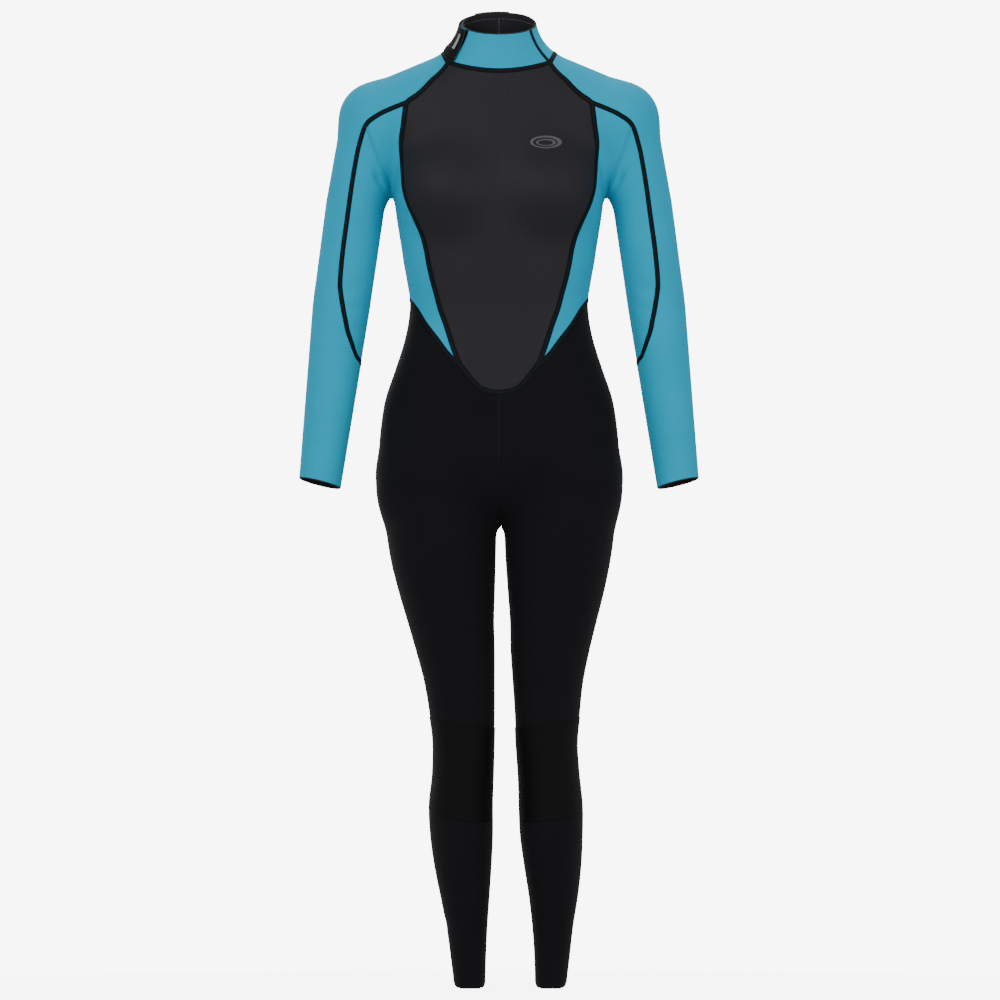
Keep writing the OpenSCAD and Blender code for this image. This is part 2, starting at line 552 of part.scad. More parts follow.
chest_panel();
back_panel(1);  // back_panel_left
back_panel(-1);  // back_panel_right
side_panel(1);  // side_panel_left
side_panel(-1);  // side_panel_right
sleeve_panel(1);  // sleeve_left
sleeve_panel(-1);  // sleeve_right
underarm_panel(1);  // underarm_panel_left
underarm_panel(-1);  // underarm_panel_right
leg_panel(1, -1);  // leg_front_left
leg_panel(-1, -1);  // leg_front_right
leg_panel(1, 1);  // leg_back_left
leg_panel(-1, 1);  // leg_back_right
knee_pad(1);  // knee_pad_left
knee_pad(-1);  // knee_pad_right
chest_badge();
collar_front();
collar_back(1);  // collar_back_left
collar_back(-1);  // collar_back_right
neck_flap();
neck_tab();
hook_patch();
loop_patch();
zip_tape(1);  // zip_tape_left
zip_tape(-1);  // zip_tape_right
zip_teeth(1);  // zip_teeth_left
zip_teeth(-1);  // zip_teeth_right
top_stops();
bottom_stop();
zip_slider();
pull_tab();
zip_flap();
neck_seam();
chest_seam();
back_seam();
centre_seam();
collar_seam(1);  // collar_seam_left
collar_seam(-1);  // collar_seam_right
sleeve_seam(1);  // sleeve_seam_left
sleeve_seam(-1);  // sleeve_seam_right
armhole_seam(1);  // armhole_seam_left
armhole_seam(-1);  // armhole_seam_right
forearm_seam(1);  // forearm_seam_left
forearm_seam(-1);  // forearm_seam_right
hip_seam(1);  // hip_seam_left
hip_seam(-1);  // hip_seam_right
outer_leg_seam(1);  // outer_leg_seam_left
outer_leg_seam(-1);  // outer_leg_seam_right
inner_leg_seam(1);  // inner_leg_seam_left
inner_leg_seam(-1);  // inner_leg_seam_right
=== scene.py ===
"""Full wetsuit: neoprene panels on one body surface, flatlock seams, collar, neck tab, back zip."""
import bpy
import numpy as np
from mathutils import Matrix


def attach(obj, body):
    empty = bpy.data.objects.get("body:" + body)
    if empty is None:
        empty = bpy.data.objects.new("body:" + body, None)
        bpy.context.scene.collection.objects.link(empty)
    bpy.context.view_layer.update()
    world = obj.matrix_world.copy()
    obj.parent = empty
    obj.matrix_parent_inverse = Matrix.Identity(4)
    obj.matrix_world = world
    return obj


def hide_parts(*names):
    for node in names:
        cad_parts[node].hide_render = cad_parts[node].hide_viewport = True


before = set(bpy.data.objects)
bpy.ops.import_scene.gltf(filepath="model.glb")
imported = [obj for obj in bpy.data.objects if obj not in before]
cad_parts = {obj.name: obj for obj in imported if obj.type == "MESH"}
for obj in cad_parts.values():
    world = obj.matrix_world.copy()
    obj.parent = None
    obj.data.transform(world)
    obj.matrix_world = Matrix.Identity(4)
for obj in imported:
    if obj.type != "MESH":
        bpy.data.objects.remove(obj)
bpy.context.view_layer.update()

MM = 0.001
PANEL = 3.0            # thickness of the neoprene, mm
GAP = 0.45             # half the gap between two panels under their seam, mm
TIP_Z = 875
NECK_X, NECK_Z = 75, 1360
ZIP_HALF, ZIP_LOW, ZIP_HIGH = 8, 962, 1356
CROTCH = 684

# ---- tables of the cut, in mm, as in the CAD part ----------------------------------------
# trunk sections every 45 mm from Z = 640: half width, depth to the front, depth to the back
TRUNK = np.array([
    [168, 88, 92], [172, 93, 98], [176, 96, 102], [177, 95, 102], [174, 92, 97],
    [167, 89, 89], [152, 86, 82], [138, 83, 78], [131, 82, 77], [137, 84, 79],
    [144, 86, 82], [151, 88, 84], [155, 88, 84], [156, 82, 82], [148, 72, 77],
    [118, 60, 69], [72, 52, 60]], float)
# leg sections every 45 mm from the hem: centre right, centre left, half width, centre Y, half depth
LEGS = np.array([
    [43, 76, 23, 14, 33], [45, 78, 26, 14, 35], [47, 79, 30, 13, 40], [50, 80, 36, 12, 47],
    [53, 79, 42, 12, 54], [55, 77, 46, 10, 58], [56, 76, 47, 7, 59], [53, 73, 45, 2, 57],
    [52, 70, 45, -4, 54], [54, 71, 48, -8, 55], [58, 72, 52, -8, 60], [64, 75, 58, -5, 66],
    [71, 80, 64, -1, 72], [77, 84, 71, 3, 78], [82, 87, 77, 6, 83], [85, 89, 81, 8, 88],
    [87, 90, 84, 8, 91], [88, 90, 86, 8, 92]], float)
# outline of the chest panel and of the back panels: height, distance from the centre line
EDGE = np.array([
    [1360, 75], [1352, 80], [1342, 89], [1335, 97], [1320, 111], [1312, 120], [1302, 134],
    [1286, 138], [1270, 140], [1240, 144], [1216, 143], [1195, 142], [1173, 140], [1150, 133],
    [1128, 123], [1106, 113], [1085, 107], [1063, 103], [1041, 98], [1019, 92], [997, 86],
    [975, 78], [953, 71], [930, 63], [916, 57], [907, 50], [895, 41], [882, 29]], float)
TIP_LINE = np.array([[912, 54], [903, 47], [893, 39], [882, 29], [877, 15], [875, 0]], float)
# sleeve seam rows from the wrist to the neck: seam X, seam Z, origin offset, outward angle
SLEEVE = np.array([
    [231, 735, 32, 14], [226, 775, 33, 10], [219, 820, 34, 8], [212, 865, 36, 7.3],
    [205, 917, 38, 7.3], [210, 930, 30, 7.3], [218, 953, 19, 7.3], [224, 975, 11, 7.3],
    [232, 1019, 0, 7.3], [233, 1041, 0, 7.3], [229, 1085, 0, 7.5], [223, 1129, 0, 8],
    [217, 1173, 0, 11], [211, 1210, 0, 16], [205, 1239, 0, 24], [195, 1268, 0, 38],
    [178, 1282, 0, 50], [160, 1291, 0, 58], [134, 1302, 0, 65], [120, 1312, 0, 67],
    [111, 1320, 0, 69], [97, 1335, 0, 70], [89, 1342, 0, 70], [80, 1352, 0, 67],
    [75, 1360, 0, 62]], float)
# underarm rows from the armhole to the elbow: seam X, seam Z, downward angle to the inside
UNDERARM = np.array([
    [195, 1268, 71], [205, 1239, 67], [211, 1210, 58], [217, 1173, 42], [220, 1150, 31],
    [223, 1129, 23], [226, 1107, 16], [229, 1085, 11], [231, 1063, 8], [233, 1041, 7.3],
    [232, 1019, 7.3], [224, 975, 7.3], [218, 953, 7.3], [210, 930, 7.3], [206, 920, 7.3]], float)
# height of the hip seam against the angle round the hip, 0 at the side
HIP = np.array([[0, 1012], [30, 1007], [54, 995], [72, 975], [89, 953], [102, 930], [111, 916]],
               float)
# heights of the leg rows along the side seam and along the centre and inner leg
OUTER_Z = np.array([
    1012, 975, 935, 895, 855, 820, 792, 770, 750, 732, 716, 690, 655, 610, 560, 510,
    460, 415, 375, 335, 295, 250, 205, 160, 115, 70, 30, 0], float)
INNER_Z = np.array([
    875, 852, 825, 795, 765, 740, 718, 702, 691, 684, 680, 672, 648, 607, 560, 510,
    460, 415, 375, 335, 295, 250, 205, 160, 115, 70, 30, 0], float)
SHOULDER, NECK_SIDE, UPPER_ARM = (179, 4, 1276), (35, 8, 1335), (211, 2, 1151)
ELBOW, WRIST, HAND = (232, 0, 1000), (262, -26, 750), (270, -34, 690)
BUST, SEAT = np.array([74, -50, 1174.0]), np.array([74, 44, 765.0])
ARM_TOP, ARM_PIT = np.array([195, 1268.0]), np.array([159, 1163.0])
HIP_X = 90


# ---- body surface ------------------------------------------------------------------------
def mix(a, b, t):
    return a + (b - a) * t


def unit(v):
    return v / np.maximum(np.linalg.norm(v, axis=-1, keepdims=True), 1e-9)


def points(x, y, z):
    return np.stack(np.broadcast_arrays(x, y, z), -1).astype(float)


def section(rows, low, z, column):
    """Value of a column in rows 45 mm apart, by a cubic through the four rows about z."""
    s = np.clip((z - low) / 45.0, 0, len(rows) - 1.001)
    i = np.floor(s).astype(int)
    t, v = s - i, rows[:, column]
    a, b, d = v[np.maximum(i - 1, 0)], v[i], v[i + 1]
    e = v[np.minimum(i + 2, len(rows) - 1)]
    return b + t / 2 * (d - a + t * (2 * a - 5 * b + 4 * d - e + t * (3 * (b - d) + e - a)))


def join(a, b, k):
    """Rounded union of two distances: the smaller one, less h squared k / 4 where they are near."""
    h = np.maximum(k - np.abs(a - b), 0) / k
    return np.minimum(a, b) - h * h * k / 4


def cut(a, b, k):
    return -join(-a, -b, k)


def oval(x, y, a, b, n):
    """Distance from an oval section (|x| / a)^n + (|y| / b)^n = 1, along the ray to its middle."""
    r = np.hypot(x, y) + 0.001
    return r - r / ((np.abs(x) / a) ** n + (np.abs(y) / b) ** n) ** (1 / n)


def limb(p, a, b, ra, rb):
    """Distance from a tapered round limb between the points a and b."""
    a, ab = np.array(a, float), np.array(b, float) - np.array(a, float)
    t = np.clip(((p - a) @ ab) / (ab @ ab), 0, 1)
    return np.linalg.norm(p - a - t[..., None] * ab, axis=-1) - ra - t * (rb - ra)


def trunk(p):
    x, y, z = p[..., 0], p[..., 1], p[..., 2]
    depth = np.where(y < 0, section(TRUNK, 640, z, 1), section(TRUNK, 640, z, 2))
    shell = oval(x, y, section(TRUNK, 640, z, 0), depth, 2.3)
    return cut(cut(shell, CROTCH + (y - 8) ** 2 / 160 - z, 50), z - 1345, 40)


def leg(p, side):
    x, y, z = p[..., 0], p[..., 1], p[..., 2]
    centre = side * section(LEGS, 0, z, 0 if side < 0 else 1)
    return oval(x - centre, y - section(LEGS, 0, z, 3), section(LEGS, 0, z, 2),
                section(LEGS, 0, z, 4), 2)


def neck(p):
    return oval(p[..., 0], p[..., 1] - 8 + 0.12 * (p[..., 2] - 1330), 54, 59, 2)


def spine(z):
    return np.where(z < 950, 74 + (950 - z), 60 + (1345 - z) * 0.0368)


def folded(p):
    q = p.copy()
    q[..., 0] = np.abs(q[..., 0])
    return q


def upper(p):
    q, z = folded(p), p[..., 2]
    bar = join(trunk(p), limb(q, NECK_SIDE, SHOULDER, 54, 53), 36)
    chest = np.where(z < 1260, join(bar, np.linalg.norm(q - BUST, axis=-1) - 58, 40), bar)
    body = np.where(z > 1250, join(chest, neck(p), 46), chest)
    flat = p[..., 1] - spine(z) - 0.4 * np.maximum(q[..., 0] - 13, 0)
    back = np.where(p[..., 1] > 0, cut(body, flat, 8), body)
    arm = np.minimum(
        np.minimum(limb(q, SHOULDER, UPPER_ARM, 53, 43.5), limb(q, UPPER_ARM, ELBOW, 43.5, 42.3)),
        np.minimum(limb(q, ELBOW, WRIST, 42.3, 31.5), limb(q, WRIST, HAND, 31.5, 30)))
    return np.where(q[..., 0] < 120, back, join(back, arm, 16))


def lower(p):
    legs = np.minimum(leg(p, -1), leg(p, 1))
    hips = join(trunk(p), cut(legs, p[..., 2] - 778, 40), 24)
    return np.where(p[..., 2] < 560, legs,
                    join(hips, np.linalg.norm(folded(p) - SEAT, axis=-1) - 66, 40))


def suit(p):
    """Signed distance from the outside of the suit, negative inside it."""
    p = np.asarray(p, float)
    x, z = np.abs(p[..., 0]), p[..., 2]
    top = upper(p)
    seat = join(top, np.linalg.norm(folded(p) - SEAT, axis=-1) - 66, 40)
    return np.where((z < 800) & (x < 200), lower(p), np.where((z < 950) & (x < 195), seat, top))


def slope(p, e=0.5):
    """Outward direction of the surface, from the change of suit() over e mm each way."""
    return unit(np.stack([suit(p + e * a) - suit(p - e * a) for a in np.eye(3)], -1))


def settle(p):
    return p - suit(p)[..., None] * slope(p)


def leave(o, d, near, far, n=18):
    """Where a ray from o along d leaves the body, halving the stretch from near to far n times."""
    o, d = np.broadcast_arrays(np.asarray(o, float), np.asarray(d, float))
    near = np.zeros(o.shape[:-1]) + near
    far = np.zeros(o.shape[:-1]) + far
    for _ in range(n):
        middle = (near + far) / 2
        inside = suit(o + d * middle[..., None]) < 0
        near, far = np.where(inside, middle, near), np.where(inside, far, middle)
    return o + d * ((near + far) / 2)[..., None]


def walk(o, d, start, step):
    """The same, stepping out to the first way out where another part of the body lies beyond."""
    o, d = np.broadcast_arrays(np.asarray(o, float), np.asarray(d, float))
    t = np.zeros(o.shape[:-1]) + start
    going = np.ones(t.shape, bool)
    while going.any() and t.max() < 160:
        going &= suit(o + d * (t + step)[..., None]) < 0
        t = t + step * going
    return leave(o, d, t, t + step, 14)


def turn(side, angle):
    a = np.radians(angle)
    return points(side * np.cos(a), -np.sin(a), 0 * a)


def face_point(x, z, face):
    x, z = np.broadcast_arrays(np.asarray(x, float), np.asarray(z, float))
    return leave(points(x, 0, z), np.array([0, face, 0.0]), 0, 140)


def curve(rows, x, column=1):
    """Smooth curve through a table at x: cubic pieces, a row's slope the mean of those beside."""
    t = rows[np.argsort(rows[:, 0])]
    k, v = t[:, 0], t[:, column]
    rise = np.diff(v) / np.diff(k)
    m = np.concatenate([rise[:1], (rise[1:] + rise[:-1]) / 2, rise[-1:]])
    x = np.clip(x, k[0], k[-1])
    i = np.clip(np.searchsorted(k, x, side="right") - 1, 0, len(k) - 2)
    h = k[i + 1] - k[i]
    s = (x - k[i]) / h
    return ((2 * s ** 3 - 3 * s ** 2 + 1) * v[i] + (s ** 3 - 2 * s ** 2 + s) * h * m[i]
            + (3 * s ** 2 - 2 * s ** 3) * v[i + 1] + (s ** 3 - s ** 2) * h * m[i + 1])


def rows_at(rows, s):
    """All columns of a table at the fractional rows s, smooth between them."""
    table = np.column_stack([np.arange(len(rows)), rows])
    return np.stack([curve(table, s, c + 1) for c in range(rows.shape[1])], -1)


# ---- outlines ------------------------------------------------------------------------------
def edge_x(z):
    return curve(EDGE, np.maximum(z, 882.0))


def neck_front_z(x):
    return 1347 + 13 * (x / NECK_X) ** 2


def neck_back_z(x):
    return 1364 - 4 * (x / NECK_X) ** 2


def side_x(z):
    t = np.clip((z - 1070) / 95, 0, 1)
    return mix(HIP_X, 140, t * t * (3 - 2 * t))


def side_point(side, angle, z):
    x = side * side_x(z)
    return walk(points(x, 0 * x, z), turn(side, angle), 4, 5)


def side_angle(side, p):
    return np.degrees(np.arctan2(-p[..., 1], side * p[..., 0] - side_x(p[..., 2])))


def leg_origin(side, z):
    x = side * section(LEGS, 0, z, 0 if side < 0 else 1)
    return points(x, 8 + 0 * x, z)


def leg_point(side, angle, z):
    o = leg_origin(side, z)
    inward = np.maximum(-np.cos(np.radians(angle)), 0.001)
    return leave(o, turn(side, angle), 0, np.minimum((np.abs(o[..., 0]) - 0.3) / inward, 150))


def leg_angle(side, p):
    o = leg_origin(side, p[..., 2])
    return np.degrees(np.arctan2(-(p[..., 1] - o[..., 1]), side * (p[..., 0] - o[..., 0])))


def cuff_lean(z):
    return np.radians(7) * np.clip((917 - z) / 100, 0, 1)


def sleeve_point(o, d, angle):
    """Point round the sleeve from o, at an angle from d towards the front."""
    lean, a = cuff_lean(o[..., 2]), np.radians(angle)
    front = points(0 * lean, np.cos(lean), -np.sin(lean))
    return walk(o, d * np.cos(a)[..., None] - front * np.sin(a)[..., None], 0, 8)


def arm_shift(z):
    return np.where(z > 1000, 0, (z - 1000) * 26 / 250)


def sleeve_frame(side, r):
    """Ray origin and outward direction of the sleeve rows r."""
    a = np.radians(r[..., 3])
    d = points(side * np.cos(a), 0 * a, np.sin(a))
    o = points(side * r[..., 0], arm_shift(r[..., 1]), r[..., 1])
    return o + d * np.maximum(r[..., 2:3], 0), d


def armhole_point(side, angle, shift=0.0):
    d = unit(points(ARM_PIT[0] - ARM_TOP[0], 0, ARM_PIT[1] - ARM_TOP[1]))
    o = points(side * (ARM_TOP[0] - shift * d[2]), 0, ARM_TOP[1] + shift * d[0])
    return sleeve_point(np.broadcast_to(o, np.shape(angle) + (3,)),
                        np.array([side * d[0], 0, d[2]]), np.asarray(angle, float))


def neck_plane(side, angle, shift=0.0):
    a = np.radians(62)
    o = points(side * (NECK_X - shift * np.sin(a)), 0, NECK_Z + shift * np.cos(a))
    return sleeve_point(np.broadcast_to(o, np.shape(angle) + (3,)),
                        np.array([side * np.cos(a), 0, np.sin(a)]), np.asarray(angle, float))


# ---- panel grids -----------------------------------------------------------------------------
def grid(rows, columns):
    """Row parameter v and column parameter u, both from 0 to 1."""
    return np.meshgrid(np.linspace(0, 1, rows), np.linspace(0, 1, columns), indexing="ij")


def chest_grid():
    v, u = grid(170, 101)
    u = 2 * u - 1
    z = mix(neck_front_z(NECK_X * u) - GAP, TIP_Z + 7 * u * u, v)
    return face_point(u * (edge_x(z) - GAP), z, -1)


def back_grid(side):
    v, u = grid(170, 51)
    z = mix(neck_back_z(NECK_X * u) - GAP, TIP_Z + 7 * u * u, v)
    inner = np.where(z > ZIP_LOW - 8, ZIP_HALF, np.maximum(ZIP_HALF - (ZIP_LOW - 8 - z), 0.25))
    return face_point(side * mix(inner, edge_x(z) - GAP, u), z, 1)


def side_grid(side):
    """Blend of the armhole and shoulder line above, the hip line below and the edges beside it."""
    n_over, n_arm, n_rows = 14, 55, 130
    r = rows_at(SLEEVE, np.linspace(18, 15, n_over))
    a = np.radians(r[:, 3])
    ox, oz = side * (r[:, 0] - GAP * np.cos(a)), r[:, 1] - GAP * np.sin(a)
    arm = armhole_point(side, np.linspace(82, -82, n_arm), -GAP)
    top = np.concatenate([face_point(ox, oz, -1), arm,
                          face_point(ox, oz, 1)[::-1]])
    n = len(top)
    v, u = grid(n_rows, n)
    z = mix(1302 - GAP, 916.0, v[:, :1])
    edges = [face_point(side * (edge_x(z) + GAP), z, face) for face in (-1, 1)]
    front, back = [np.stack([side_angle(side, e), e[..., 2]], -1) for e in edges]
    top_c = np.stack([side_angle(side, top), top[:, 2]], -1)[None]
    low_a = mix(front[-1, 0, 0], back[-1, 0, 0], np.linspace(0, 1, n))
    low_c = np.stack([low_a, curve(HIP, np.abs(low_a)) + GAP], -1)[None]
    w, t = v[..., None], u[..., None]
    c = (mix(top_c, low_c, w) + mix(front, back, t)
         - mix(mix(front[0], back[0], t), mix(front[-1], back[-1], t), w))
    p = side_point(side, c[..., 0], c[..., 1])
    d = unit(ARM_PIT - ARM_TOP)
    past = ((side * p[..., 0] - ARM_TOP[0]) * -d[1] + (p[..., 2] - ARM_TOP[1]) * d[0]
            + GAP + 28 * v)
    moved = p + past[..., None] * np.array([side * d[1], 0, -d[0]])
    for _ in range(3):
        moved = settle(moved)
    p = np.where(((p[..., 2] > 1120) & (past > 0))[..., None], moved, p)
    p[0] = top
    return p


def sleeve_half(side, r, o):
    """Half angle that the sleeve panel takes round the arm at each row."""
    p = face_point(side * r[:, 0], r[:, 1], -1)
    open_half = np.degrees(np.arctan2(-(p[:, 1] - o[:, 1]), -np.maximum(r[:, 2], 0)))
    return np.where(r[:, 2] < 1, 90, np.where(r[:, 1] <= 917.01, 180, open_half))


def sleeve_grid(side):
    r = rows_at(SLEEVE, np.concatenate([np.linspace(0, 15, 150), np.linspace(15.1, 24, 70)]))
    o, d = sleeve_frame(side, r)
    half = sleeve_half(side, r, o)
    trim = GAP / np.maximum(38 * np.sin(np.radians(half)), 38) * 57.3
    angle = np.linspace(-1, 1, 91) * (half - trim)[:, None]
    return sleeve_point(np.broadcast_to(o[:, None], angle.shape + (3,)), d[:, None], angle)


def underarm_grid(side):
    s = np.linspace(0, 14, 130)
    r = rows_at(UNDERARM, s)
    a, g = np.radians(r[:, 2]), GAP * np.clip(1 - s, 0, 1)
    d = points(-side * np.cos(a), 0 * a, -np.sin(a))
    o = points(side * (r[:, 0] + g * np.sin(a)), arm_shift(r[:, 1]), r[:, 1] - g * np.cos(a))
    angle = np.linspace(-1, 1, 51)[None] * (90 - GAP / 40 * 57.3) + 0 * o[:, :1]
    return sleeve_point(np.broadcast_to(o[:, None], angle.shape + (3,)), d[:, None], angle)


def hem_lift(angle):
    """The hem is cut 11 mm higher at the two sides of the ankle than at the front and back."""
    c = np.clip((np.abs(np.cos(np.radians(angle))) - 0.3) / 0.7, 0, 1)
    return 11 * c ** 3.2


def leg_top(side, face):
    """Hip line, then the edge of the panel tip, as points on the surface."""
    a = np.linspace(0, 108, 64)
    hip = side_point(side, -face * a, curve(HIP, a) - GAP)
    q = rows_at(TIP_LINE, np.linspace(0, 5, 46))
    tip = face_point(side * (q[:, 1] + GAP), q[:, 0] - GAP, face)
    bridge = mix(hip[-1], tip[0], np.linspace(0, 1, 8)[1:-1, None])
    return np.concatenate([hip, settle(settle(bridge)), tip])


def inner_angle(side, face, z):
    """Angle of the centre seam, or of the inner leg below the crotch, seen from the leg's axis."""
    start = points(side * 0.3 + 0 * z, 8 + 0 * z, z)
    p = leave(start, np.array([0, face, 0.0]), 0, 140)
    return np.where(suit(start) < 0, leg_angle(side, p), -face * 179.7)


def leg_grid(side, face):
    """Rows between the outer and the inner seam, whose top row is bent to the hip line."""
    top = leg_top(side, face)
    s = np.concatenate([np.linspace(0, 12, 110), np.linspace(12.1, 27, 150)])
    rows = rows_at(np.column_stack([OUTER_Z, INNER_Z]), s)
    outer = np.stack([-face * 0.3 + 0 * s, rows[:, 0]], -1)[:, None]
    inner = np.stack([inner_angle(side, face, rows[:, 1]), rows[:, 1]], -1)[:, None]
    u = np.linspace(0, 1, len(top))[None, :, None]
    fade = (np.maximum(1 - s / 12, 0) ** 1.5)[:, None, None]
    line = np.stack([leg_angle(side, top), top[:, 2]], -1)[None]
    c = mix(outer, inner, u) + fade * (line - mix(line[:, :1], line[:, -1:], u))
    hem = np.clip(1 - (s - 24) / 3, 0, 1)[:, None]
    c[..., 1] += hem_lift(c[..., 0]) * (1 - hem) * (s > 24)[:, None]
    p = leg_point(side, c[..., 0], c[..., 1])
    p[0] = top
    return p


# ---- collar ------------------------------------------------------------------------------------
def neck_point(angle, z):
    angle, z = np.broadcast_arrays(np.asarray(angle, float), np.asarray(z, float))
    a = np.radians(angle)
    return leave(points(0 * z, 8 - 0.12 * (z - 1330), z), points(np.sin(a), -np.cos(a), 0), 0, 100)


def collar_top(angle):
    return mix(1400, 1435, (1 - np.cos(np.radians(angle))) / 2)


def neck_angle(p, side):
    a = np.degrees(np.arctan2(p[..., 0], -(p[..., 1] - 8 + 0.12 * (p[..., 2] - 1330))))
    return np.where((p[..., 1] > 0) & (a * side < 0), side * 180.0, a)


def neck_front_line(side, up=0.0):
    x = np.linspace(0, NECK_X, 40)
    return face_point(side * x, neck_front_z(x) + up, -1)


def neck_side_line(side, first, shift=0.0):
    return neck_plane(side, np.linspace(first, -89, 50), shift)


def neck_back_line(side, inset, up=0.0):
    x = np.linspace(NECK_X, inset, 40)
    return face_point(side * x, neck_back_z(x) + up, 1)


def collar_grid(line, start, end, side):
    """Rows from the neck line up to the collar's top edge, blended in angle and height."""
    t = np.linspace(0, 1, len(line))
    v = np.linspace(1, 0, 34)[:, None]
    a = mix(start, end, t)[None]
    b = neck_angle(line, side)[None]
    p = neck_point(mix(b, a, v), mix(line[None, :, 2], collar_top(a), v))
    p[-1] = line
    return p


def strip_grid(start, end, columns, below=0.0, rows=26, rise=0.0):
    """Strip round the neck between two angles, from under the top edge down over the collar."""
    v, u = grid(rows, columns)
    a = mix(start, end, u)
    c = np.cos(np.radians(a))
    low = np.where(c > 0, mix(1387, 1366, c / 0.53), mix(1387, 1374, -c))
    return neck_point(a, mix(collar_top(a) - 4 + rise, low + below, v))


def relax(p, times):
    """Evens out a grid: each inner point moves to the mean of its four neighbours, then back on."""
    for _ in range(times):
        mean = (p[:-2, 1:-1] + p[2:, 1:-1] + p[1:-1, :-2] + p[1:-1, 2:]) / 4
        p[1:-1, 1:-1] = settle(mean)
    return p


# ---- folds ----------------------------------------------------------------------------------
# folds of the worn fabric: start, end, half width, depth in mm; mirrored to the other side
FOLDS = [
    ((183, -38, 1200), (153, -61, 1149), 2.8, 5.4), ((180, 40, 1194), (162, 54, 1164), 3.0, 3.2),
    ((158, -60, 1152), (136, -74, 1132), 7, 0.9),
    ((206, -44, 1032), (240, -40, 1012), 7, 1.2), ((204, -42, 1002), (238, -38, 990), 7, 1.4),
    ((206, -38, 974), (240, -40, 960), 8, 1.0), ((236, 40, 1020), (262, 24, 1000), 9, 1.2),
    ((20, -84, 716), (74, -92, 762), 10, 1.6), ((14, -78, 702), (64, -88, 722), 8, 1.4),
    ((16, 80, 712), (92, 88, 690), 9, 2.2), ((24, 92, 690), (80, 92, 676), 8, 1.2),
    ((48, 52, 428), (112, 52, 420), 9, 1.6), ((50, 56, 400), (110, 54, 396), 8, 1.4),
    ((52, 58, 452), (104, 60, 462), 10, 1.0), ((62, 20, 98), (92, 20, 92), 7, 0.5),
    ((24, 76, 998), (104, 66, 1008), 12, 1.2), ((30, 76, 968), (112, 64, 974), 12, 1.2),
    ((120, 20, 1046), (134, -30, 1040), 12, 0.9), ((124, 16, 1018), (136, -24, 1012), 12, 0.8),
    ((226, -52, 792), (282, -52, 798), 6, 0.5), ((228, -48, 826), (284, -44, 836), 7, 0.6)]


def relief(p):
    """Height of the folds at p: for each a dip of depth d exp(-(r / w)^2) with a low rise on both
    sides, r growing with the distance from the fold's line, all fading out past its two ends."""
    squash = np.array([1, 0.35, 1])         # depth counts less, so a fold may sit off the surface
    q, height = folded(p) * squash, np.zeros(p.shape[:-1])
    for start, end, width, depth in FOLDS:
        a, ab = np.array(start) * squash, (np.array(end) - np.array(start)) * squash
        t = ((q - a) @ ab) / (ab @ ab)
        away = np.linalg.norm(q - a - t[..., None] * ab, axis=-1)
        r = 0.6 * away + 0.5 * np.maximum(away - 8, 0)
        shape = 0.3 * np.exp(-((r - 2.2 * width) / width) ** 2) - np.exp(-(r / width) ** 2)
        height += depth * shape * np.exp(-1.2 * np.clip(2 * t - 1, -4, 4) ** 4)
    return height


# ---- meshes ---------------------------------------------------------------------------------
def make(name, verts, faces, finishes, indices=None, uv=None, body="suit", nodes=()):
    """One object at the origin from points in mm; faces are index arrays of equal length."""
    mesh = bpy.data.meshes.new(name)
    verts, faces = np.asarray(verts), np.asarray(faces)
    a, b, c, d = (verts[faces[:, k]] - verts.mean(0) for k in (0, 1, 2, -1))
    if (np.cross(a, b) * c + np.cross(a, c) * d).sum() < 0:     # six times the volume
        faces = faces[:, ::-1]
    mesh.from_pydata((verts * MM).tolist(), [], faces.tolist())
    for finish in finishes:
        mesh.materials.append(finish)
    mesh.polygons.foreach_set("use_smooth", np.ones(len(mesh.polygons), bool))
    if indices is not None:
        mesh.polygons.foreach_set("material_index", np.asarray(indices, np.int32))
    if uv is not None:
        layer = mesh.uv_layers.new(name="cloth")
        corners = np.empty(len(mesh.loops), np.int32)
        mesh.loops.foreach_get("vertex_index", corners)
        layer.data.foreach_set("uv", np.asarray(uv, float)[corners].ravel())
    mesh.validate()
    mesh.update()
    piece = bpy.data.objects.new(name, mesh)
    bpy.context.scene.collection.objects.link(piece)
    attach(piece, body)
    if nodes:
        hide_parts(*nodes)
    return piece


def quads(rows, columns, closed=False):
    """Faces of a grid of rows by columns, whose columns may run round."""
    i, j = np.meshgrid(np.arange(rows - 1), np.arange(columns if closed else columns - 1),
                       indexing="ij")
    k = (j + 1) % columns
    return np.stack([i * columns + j, i * columns + k, (i + 1) * columns + k,
                     (i + 1) * columns + j], -1).reshape(-1, 4)


def travel(p, axis):
    """Length along a grid's rows or columns from its middle, in m."""
    step = np.linalg.norm(np.diff(p, axis=axis), axis=-1)
    s = np.insert(np.cumsum(step, axis=axis), 0, 0, axis=axis)
    return (s - np.take(s, [s.shape[axis] // 2], axis=axis)) * MM


